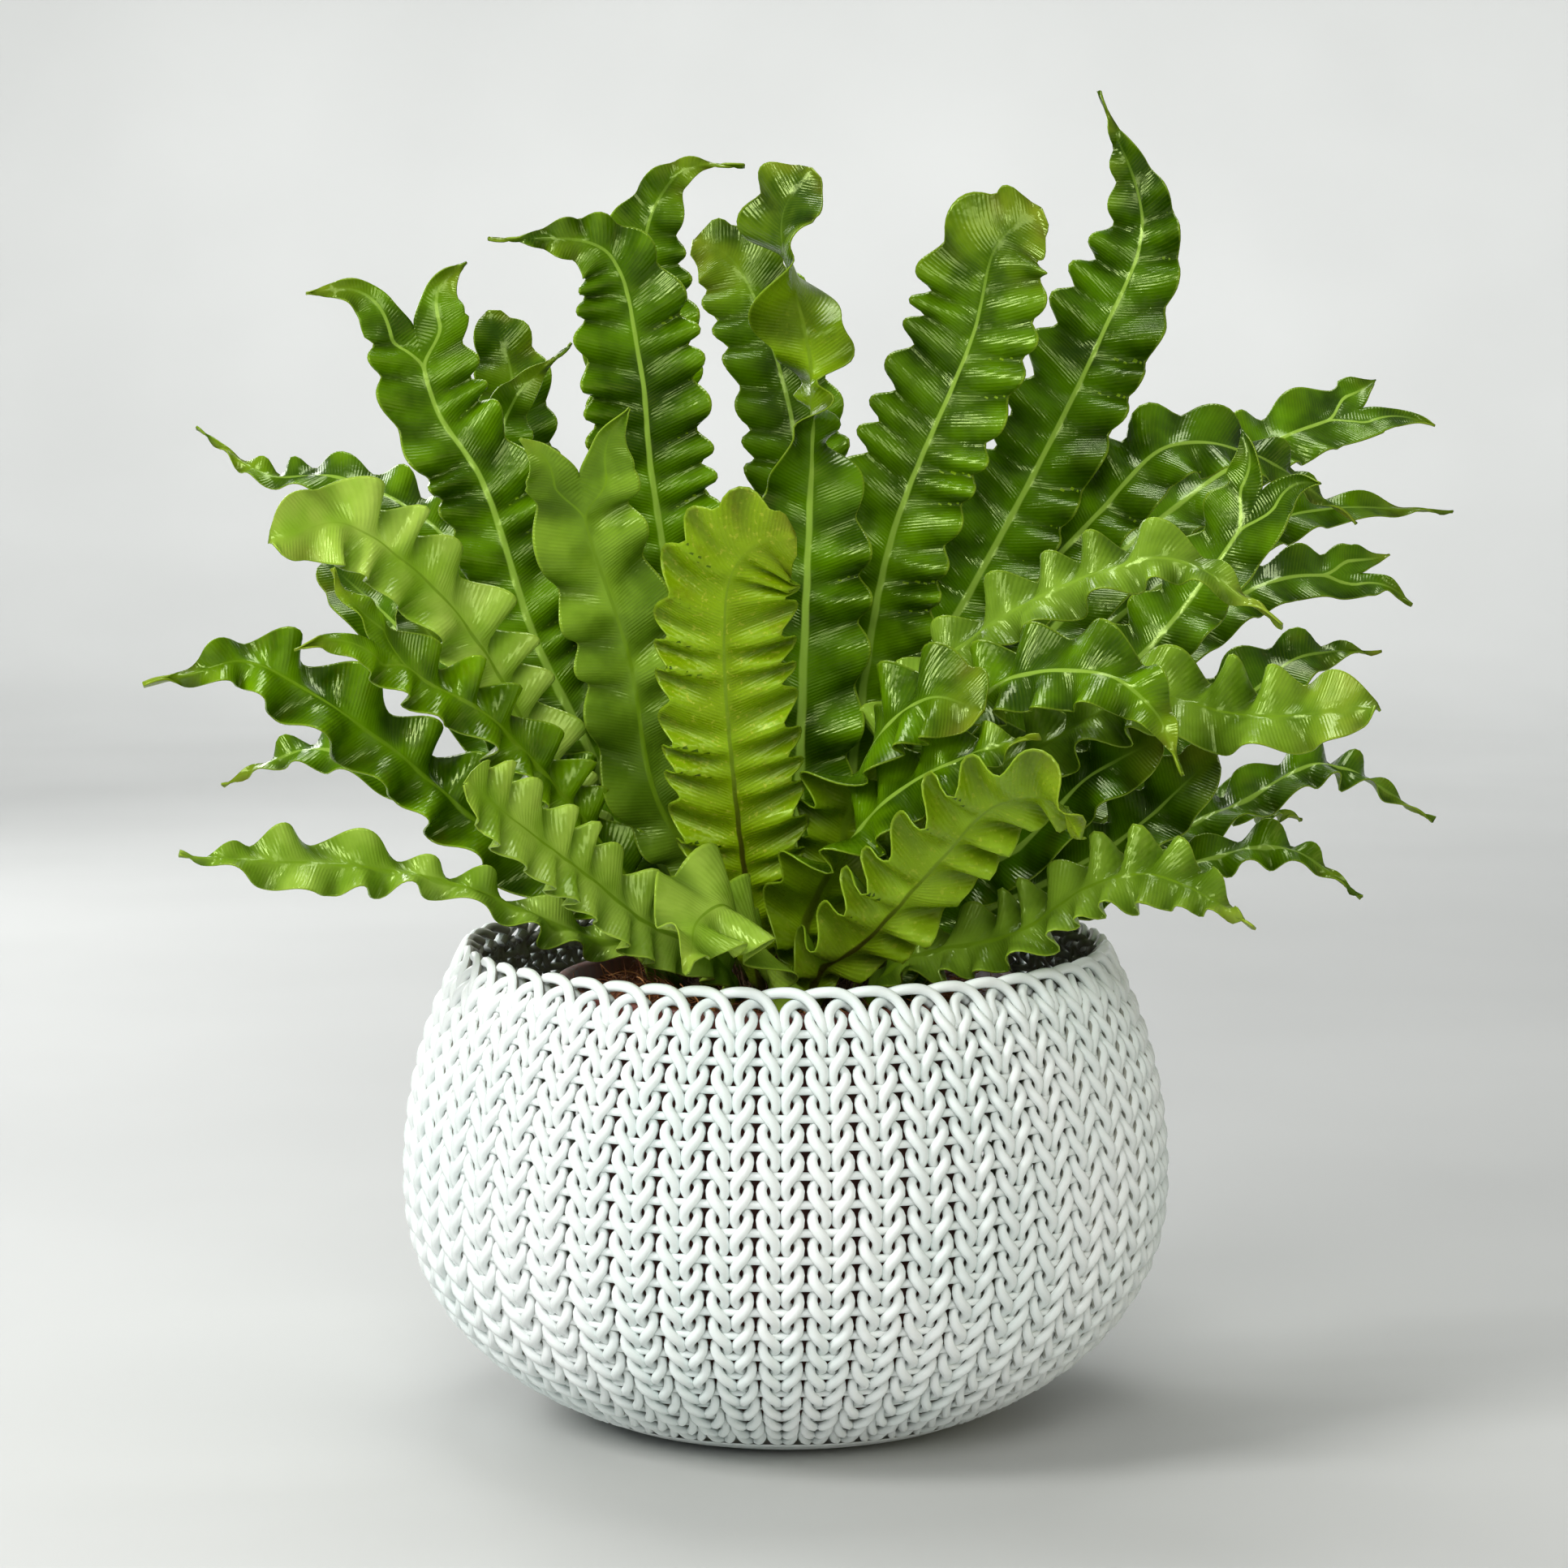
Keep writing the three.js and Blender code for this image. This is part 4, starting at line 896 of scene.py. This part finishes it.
def stitch_legs(lean):
    """All stitch legs of one lean: each crosses in front and ends behind the legs above and below it."""
    gap = -np.diff(ROW_RUNS)
    steps_up = np.concatenate([[gap[0]], gap])
    steps_down = np.concatenate([gap, [gap[-1]]])
    phase = LEG_REACH * np.sin(np.linspace(-1, 1, LEG_STEPS)) / math.sin(1)
    turned = np.abs(phase) / math.pi
    hooked = 0.5 + (turned - 0.5) * np.where(phase < 0, UPPER_HOOK, LOWER_HOOK)
    hooked = np.where(turned < 0.5, turned, hooked)
    across = lean * (CHAIN_HALF * (np.sin(phase) + 0.04 * np.sin(3 * phase)) - CHAIN_OFFSET)
    paths = []
    radii = []
    for run, step_up, step_down in zip(ROW_RUNS, steps_up, steps_down):
        along = run - np.sign(phase) * hooked * np.where(phase < 0, step_up, step_down)
        radius = np.interp(run, SIDE_RUN, SIDE_RADII)
        scale = radius / BELLY_RADIUS
        angle = WALE_ANGLES[:, None] + (across * scale / radius)[None]
        strand = STRAND * min(1.0, 0.3 + 0.7 * (step_up + step_down) / FULL_ROWS) * (0.45 + 0.55 * scale)
        depth = strand + CHAIN_DEPTH * (1 - np.cos(phase))
        paths.append(on_wall(angle, np.broadcast_to(along, angle.shape), depth))
        radii.append(np.broadcast_to(strand * (0.91 + 0.09 * np.cos(phase)), angle.shape))
    up = np.tile(polar(1, WALE_ANGLES, 0), (len(ROW_RUNS), 1))
    return tubes(np.concatenate(paths), np.concatenate(radii), up, sides=7)


def row_bars():
    """Thin hoops behind the stitches, one at each row."""
    angle = np.arange(BAR_STEPS)[:, None] * TAU / BAR_STEPS
    turn = np.arange(BAR_SIDES) * TAU / BAR_SIDES
    index = np.arange(BAR_STEPS * BAR_SIDES).reshape(BAR_STEPS, BAR_SIDES)
    quads = grid_quads(np.pad(index, (0, 1), "wrap"))
    parts = []
    for height, run in zip(ROW_HEIGHTS, ROW_RUNS):
        thick = BAR_RADIUS if height > LOW_BARS_UNDER else LOW_BAR_RADIUS
        section_run = np.broadcast_to(run + thick * np.sin(turn), index.shape)
        points = on_wall(angle, section_run, BAR_DEPTH + thick * np.cos(turn))
        parts.append((points.reshape(-1, 3), [quads]))
    return merge(parts)


def rim_strands():
    """Rim: over each pair of chains an arch that comes down on the right, and a strand that rises behind."""
    parts = []
    radius = SIDE_RADII[-1]
    scale = radius / BELLY_RADIUS
    for route, steps, thick in ((ARCH, 30, 1.9), (RISER, 18, 1.85)):
        fine_route, _ = rib_curve(route, 1.0)
        pick = np.linspace(0, len(fine_route) - 1, steps)
        across, run, depth = (np.interp(pick, np.arange(len(fine_route)), fine_route[:, k]) for k in range(3))
        angle = WALE_ANGLES[:, None] + ((across - CHAIN_OFFSET * scale) / radius)[None]
        points = on_wall(angle, np.broadcast_to(SIDE_RUN[-1] + run, angle.shape), depth + thick)
        parts.append(tubes(points, np.full(angle.shape, thick), polar(1, WALE_ANGLES, 0.3), sides=8))
    return merge(parts)


def build_planter(material):
    base = [(float(planter_radius(at)) + added, z) for at, added, z in BASE_PROFILE]
    looks = {"planter_stitches_left": stitch_legs(-1), "planter_stitches_right": stitch_legs(1),
             "planter_row_bars": row_bars(), "planter_rim": rim_strands(),
             "planter_base": lathe([(0, 0), *base, (0, BASE_TOP)], sides=156)}
    for name, (points, faces) in looks.items():
        piece = make_object(name, points, faces, material)
        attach(piece, "root")
        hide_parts("planter")


# Pot, potting mix and crown

def pot_radius(z):
    return POT_BASE + (POT_RIM - POT_LIP - POT_BASE) * (z - POT_FLOOR) / (POT_TOP - POT_FLOOR)


def build_pot(material):
    lip = POT_TOP - LIP_HEIGHT
    profile = [(0, POT_FLOOR), (pot_radius(POT_FLOOR) - 1, POT_FLOOR), (pot_radius(POT_FLOOR), POT_FLOOR + 1)]
    profile += [(pot_radius(z), z) for z in (*POT_RINGS, lip)]
    profile += [(pot_radius(lip) + POT_LIP, lip + 0.5)]
    profile += [(POT_RIM - inwards, POT_TOP - down) for inwards, down in LIP_PROFILE]
    profile += [(pot_radius(POT_SEEN_INSIDE) - POT_WALL, POT_SEEN_INSIDE), (0, POT_SEEN_INSIDE)]
    points, faces = lathe(profile, sides=144)
    piece = make_object("pot_shell", points, faces, material)
    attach(piece, "root")
    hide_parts("nursery_pot")


def value_noise(x, y, seed, cell):
    """Smooth noise on the plane, from seeded values on a square lattice that repeats."""
    table = np.random.default_rng(seed).uniform(-1, 1, (NOISE_CELLS, NOISE_CELLS))
    gx = x / cell + 200
    gy = y / cell + 200
    ix = np.floor(gx).astype(int)
    iy = np.floor(gy).astype(int)
    fx = smooth(gx - ix)
    fy = smooth(gy - iy)

    def at(i, j):
        return table[(ix + i) % NOISE_CELLS, (iy + j) % NOISE_CELLS]

    return (at(0, 0) * (1 - fx) + at(1, 0) * fx) * (1 - fy) + (at(0, 1) * (1 - fx) + at(1, 1) * fx) * fy


def soil_heap(x, y):
    """Height of the low heaps of coir."""
    return sum(tall * np.exp(-((x - cx) ** 2 + (y - cy) ** 2) / spread ** 2)
               for cx, cy, tall, spread in SOIL_HEAPS)


def build_soil(material, fibre, pale_fibre):
    """Potting mix: an uneven surface with heaps, closed below, and loose threads on it."""
    outer = pot_radius(SOIL_TOP) - POT_WALL - 0.6
    angle = np.arange(SOIL_SIDES) * TAU / SOIL_SIDES
    r, a = np.meshgrid(np.linspace(0, outer, SOIL_RINGS)[1:], angle, indexing="ij")
    x = r * np.cos(a)
    y = r * np.sin(a)
    rough = sum(height * value_noise(x, y, seed, cell) for seed, cell, height in SOIL_LAYERS)
    z = SOIL_TOP + rough - 1.5 * smooth((r - outer + 8) / 8)

    # Round the crown it lies no lower than its solid's top
    least = SOIL_TOP + 0.8 + rough * 0.5 - 0.03 * np.maximum(r - 60, 0) ** 2
    z = np.where(r > CROWN_RADIUS - 3, np.maximum(z, least), z) + soil_heap(x, y)
    low = SOIL_TOP - SOIL_DEPTH
    skirt = polar(pot_radius(low) - POT_WALL - 1.5, angle, low)
    surface = np.stack([x, y, z], -1).reshape(-1, 3)
    points = np.concatenate([[(0, 0, SOIL_TOP)], surface, skirt, [(0, 0, low)]])
    index = ring_index(SOIL_RINGS, SOIL_SIDES)
    rings, wall = np.split(flipped(grid_quads(index)), [-SOIL_SIDES])
    faces = [rings, fan(0, index[0]), wall, flipped(fan(len(points) - 1, index[-1]))]
    piece = make_object("soil_surface", points, faces, material)
    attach(piece, "root")
    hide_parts("potting_mix")
    loose_fibres("coir_fibres", fibre, 620, 0.16, 11, 0.12)
    loose_fibres("pale_fibres", pale_fibre, 110, 0.3, 12, 0.3)


def loose_fibres(name, material, count, thick, seed, airy):
    """Coir threads that lie on the potting mix in loose curves; the share airy has one end in the air."""
    draw = np.random.default_rng(seed)
    where = draw.uniform(0, TAU, count)
    far = np.sqrt(draw.uniform(FIBRES_FROM ** 2, FIBRES_TO ** 2, count))
    heading = draw.uniform(0, TAU, count)
    length = draw.uniform(8, 26, count)
    curl = draw.normal(0, 1.1, count)
    t = np.linspace(0, 1, FIBRE_STEPS)
    bends = draw.uniform(0.5, 1.5, count)[:, None]
    turn = heading[:, None] + curl[:, None] * t + 0.5 * np.sin(TAU * t * bends)
    step = length[:, None] / (FIBRE_STEPS - 1)
    x = (far * np.cos(where))[:, None] + np.cumsum(np.cos(turn) * step, axis=1)
    y = (far * np.sin(where))[:, None] + np.cumsum(np.sin(turn) * step, axis=1)
    squeeze = np.minimum(1, FIBRES_LIMIT / np.maximum(np.hypot(x, y), TINY))
    x = x * squeeze
    y = y * squeeze
    hump = draw.uniform(0.3, 2.6, count)[:, None] * np.sin(math.pi * t)
    raised = (draw.uniform(0, 1, count) < airy)[:, None] * draw.uniform(4, 12, count)[:, None] * t ** 2
    z = SOIL_TOP + 1.6 + 1.2 * value_noise(x, y, 1, 9) + soil_heap(x, y) + hump + raised
    radii = thick * draw.uniform(0.7, 1.5, count)[:, None] * (1 - 0.5 * t)
    up = np.tile([[0.1, 0.2, 1.0]], (count, 1))
    points, faces = tubes(np.stack([x, y, z], -1), radii, up, sides=5)
    piece = make_object(name, points, faces, material)
    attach(piece, "root")


def build_crown(material):
    """Dome of the crown with narrow brown scales that stand between the stipes."""
    edge = float(crown_top(CROWN_RADIUS))
    profile = [(0, CROWN_FLOOR), (CROWN_RADIUS - 1, CROWN_FLOOR), (CROWN_RADIUS, edge - 1)]
    profile += [(r, float(crown_top(r))) for r in CROWN_RINGS]
    draw = np.random.default_rng(5)
    where = draw.uniform(0, TAU, SCALES)
    far = CROWN_RADIUS * np.sqrt(draw.uniform(0, 0.98, SCALES))
    foot = polar(far, where, crown_top(far) - 1)
    lean = np.stack([foot[:, 0] * 0.016, foot[:, 1] * 0.016, np.ones(SCALES)], -1)
    lean = unit(lean + draw.normal(0, 0.22, (SCALES, 3)))
    tall = draw.uniform(3, 10, SCALES)
    t = np.linspace(0, 1, SCALE_STEPS)
    paths = foot[:, None] + lean[:, None] * (tall[:, None] * t)[..., None]
    paths[:, :, 0] += draw.normal(0, 1.0, SCALES)[:, None] * t ** 2
    radii = np.broadcast_to(0.75 * (1 - 0.93 * t) + 0.02, (SCALES, SCALE_STEPS))
    scales = tubes(paths, radii, draw.normal(0, 1, (SCALES, 3)) + [0, 0, 0.2], sides=4)
    points, faces = merge([lathe(profile, sides=90), scales])
    piece = make_object("crown_scales", points, faces, material)
    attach(piece, "root")
    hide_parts("crown")


# Stage, light and camera

def build_stage(material):
    """Pale floor that curves up into a pale backdrop."""
    height = -0.2
    curve_from = 2600
    radius = 900
    steps = 12
    profile = [(-14000, height), (curve_from, height)]
    for k in range(1, steps + 1):
        turn = math.pi / 2 * k / steps
        profile.append((curve_from + radius * math.sin(turn), height + radius * (1 - math.cos(turn))))
    profile.append((curve_from + radius, 5200))
    points = [(x, y, z) for y, z in profile for x in (-9000.0, 9000.0)]
    faces = [(2 * k, 2 * k + 1, 2 * k + 3, 2 * k + 2) for k in range(len(profile) - 1)]
    floor = make_object("floor", points, [faces], material)


def area_light(name, at, target, size, power, tint=(1, 1, 1), spread=180):
    data = bpy.data.lights.new(name, "AREA")
    data.shape = "RECTANGLE"
    data.size, data.size_y = size
    data.energy = power
    data.color = tint
    data.spread = math.radians(spread)
    lamp = bpy.data.objects.new(name, data)
    lamp.location = at
    dx, dy, dz = (b - a for a, b in zip(at, target))
    lamp.rotation_euler = (math.atan2(math.hypot(dx, dy), -dz), 0, math.atan2(dy, dx) - math.pi / 2)
    bpy.context.collection.objects.link(lamp)


def build_light():
    """Soft studio light, in metres and watts, with the key light from the upper left."""
    world = bpy.data.worlds.new("studio")
    world.use_nodes = True
    background = world.node_tree.nodes["Background"]
    background.inputs["Color"].default_value = (0.95, 0.98, 1.0, 1)
    background.inputs["Strength"].default_value = 0.26
    bpy.context.scene.world = world
    bpy.context.scene.view_settings.view_transform = "Standard"
    bpy.context.scene.view_settings.look = "None"
    middle = (0, 0, 0.2)
    area_light("key", (-1.35, -0.9, 1.25), middle, (0.55, 0.65), 22, (1.0, 0.995, 0.97))
    area_light("front", (-0.2, -2.3, 1.5), middle, (1.4, 1.0), 29, (1.0, 0.99, 0.96))
    area_light("top", (-0.1, 0.5, 1.8), middle, (0.9, 0.6), 15)
    area_light("fill", (1.7, -1.2, 0.7), middle, (1.2, 1.2), 4, (1.0, 0.86, 0.5))
    area_light("back", (-0.9, 1.4, 0.9), middle, (0.9, 0.7), 12)
    area_light("wash", (0, 1.2, 3.0), (0, 3.4, 0.8), (4.0, 0.6), 50, spread=100)


def build_camera():
    data = bpy.data.cameras.new("camera")
    data.sensor_width = SENSOR
    data.lens = LENS
    data.clip_start = 0.05
    camera = bpy.data.objects.new("camera", data)
    camera.location = CAMERA_AT
    camera.rotation_euler = (math.pi / 2 - CAMERA_DOWN, 0, 0)
    bpy.context.collection.objects.link(camera)
    bpy.context.scene.camera = camera


build_camera()
build_fronds(leaf_material())
build_planter(plastic_material())
build_pot(pot_material())
build_soil(soil_material(), fibre_material("coir", (150, 94, 52), (92, 52, 28)),
           fibre_material("pale_coir", (196, 140, 84), (150, 92, 50)))
build_crown(fibre_material("crown_scale", (84, 62, 36), (44, 30, 18)))
build_stage(stage_material())
build_light()
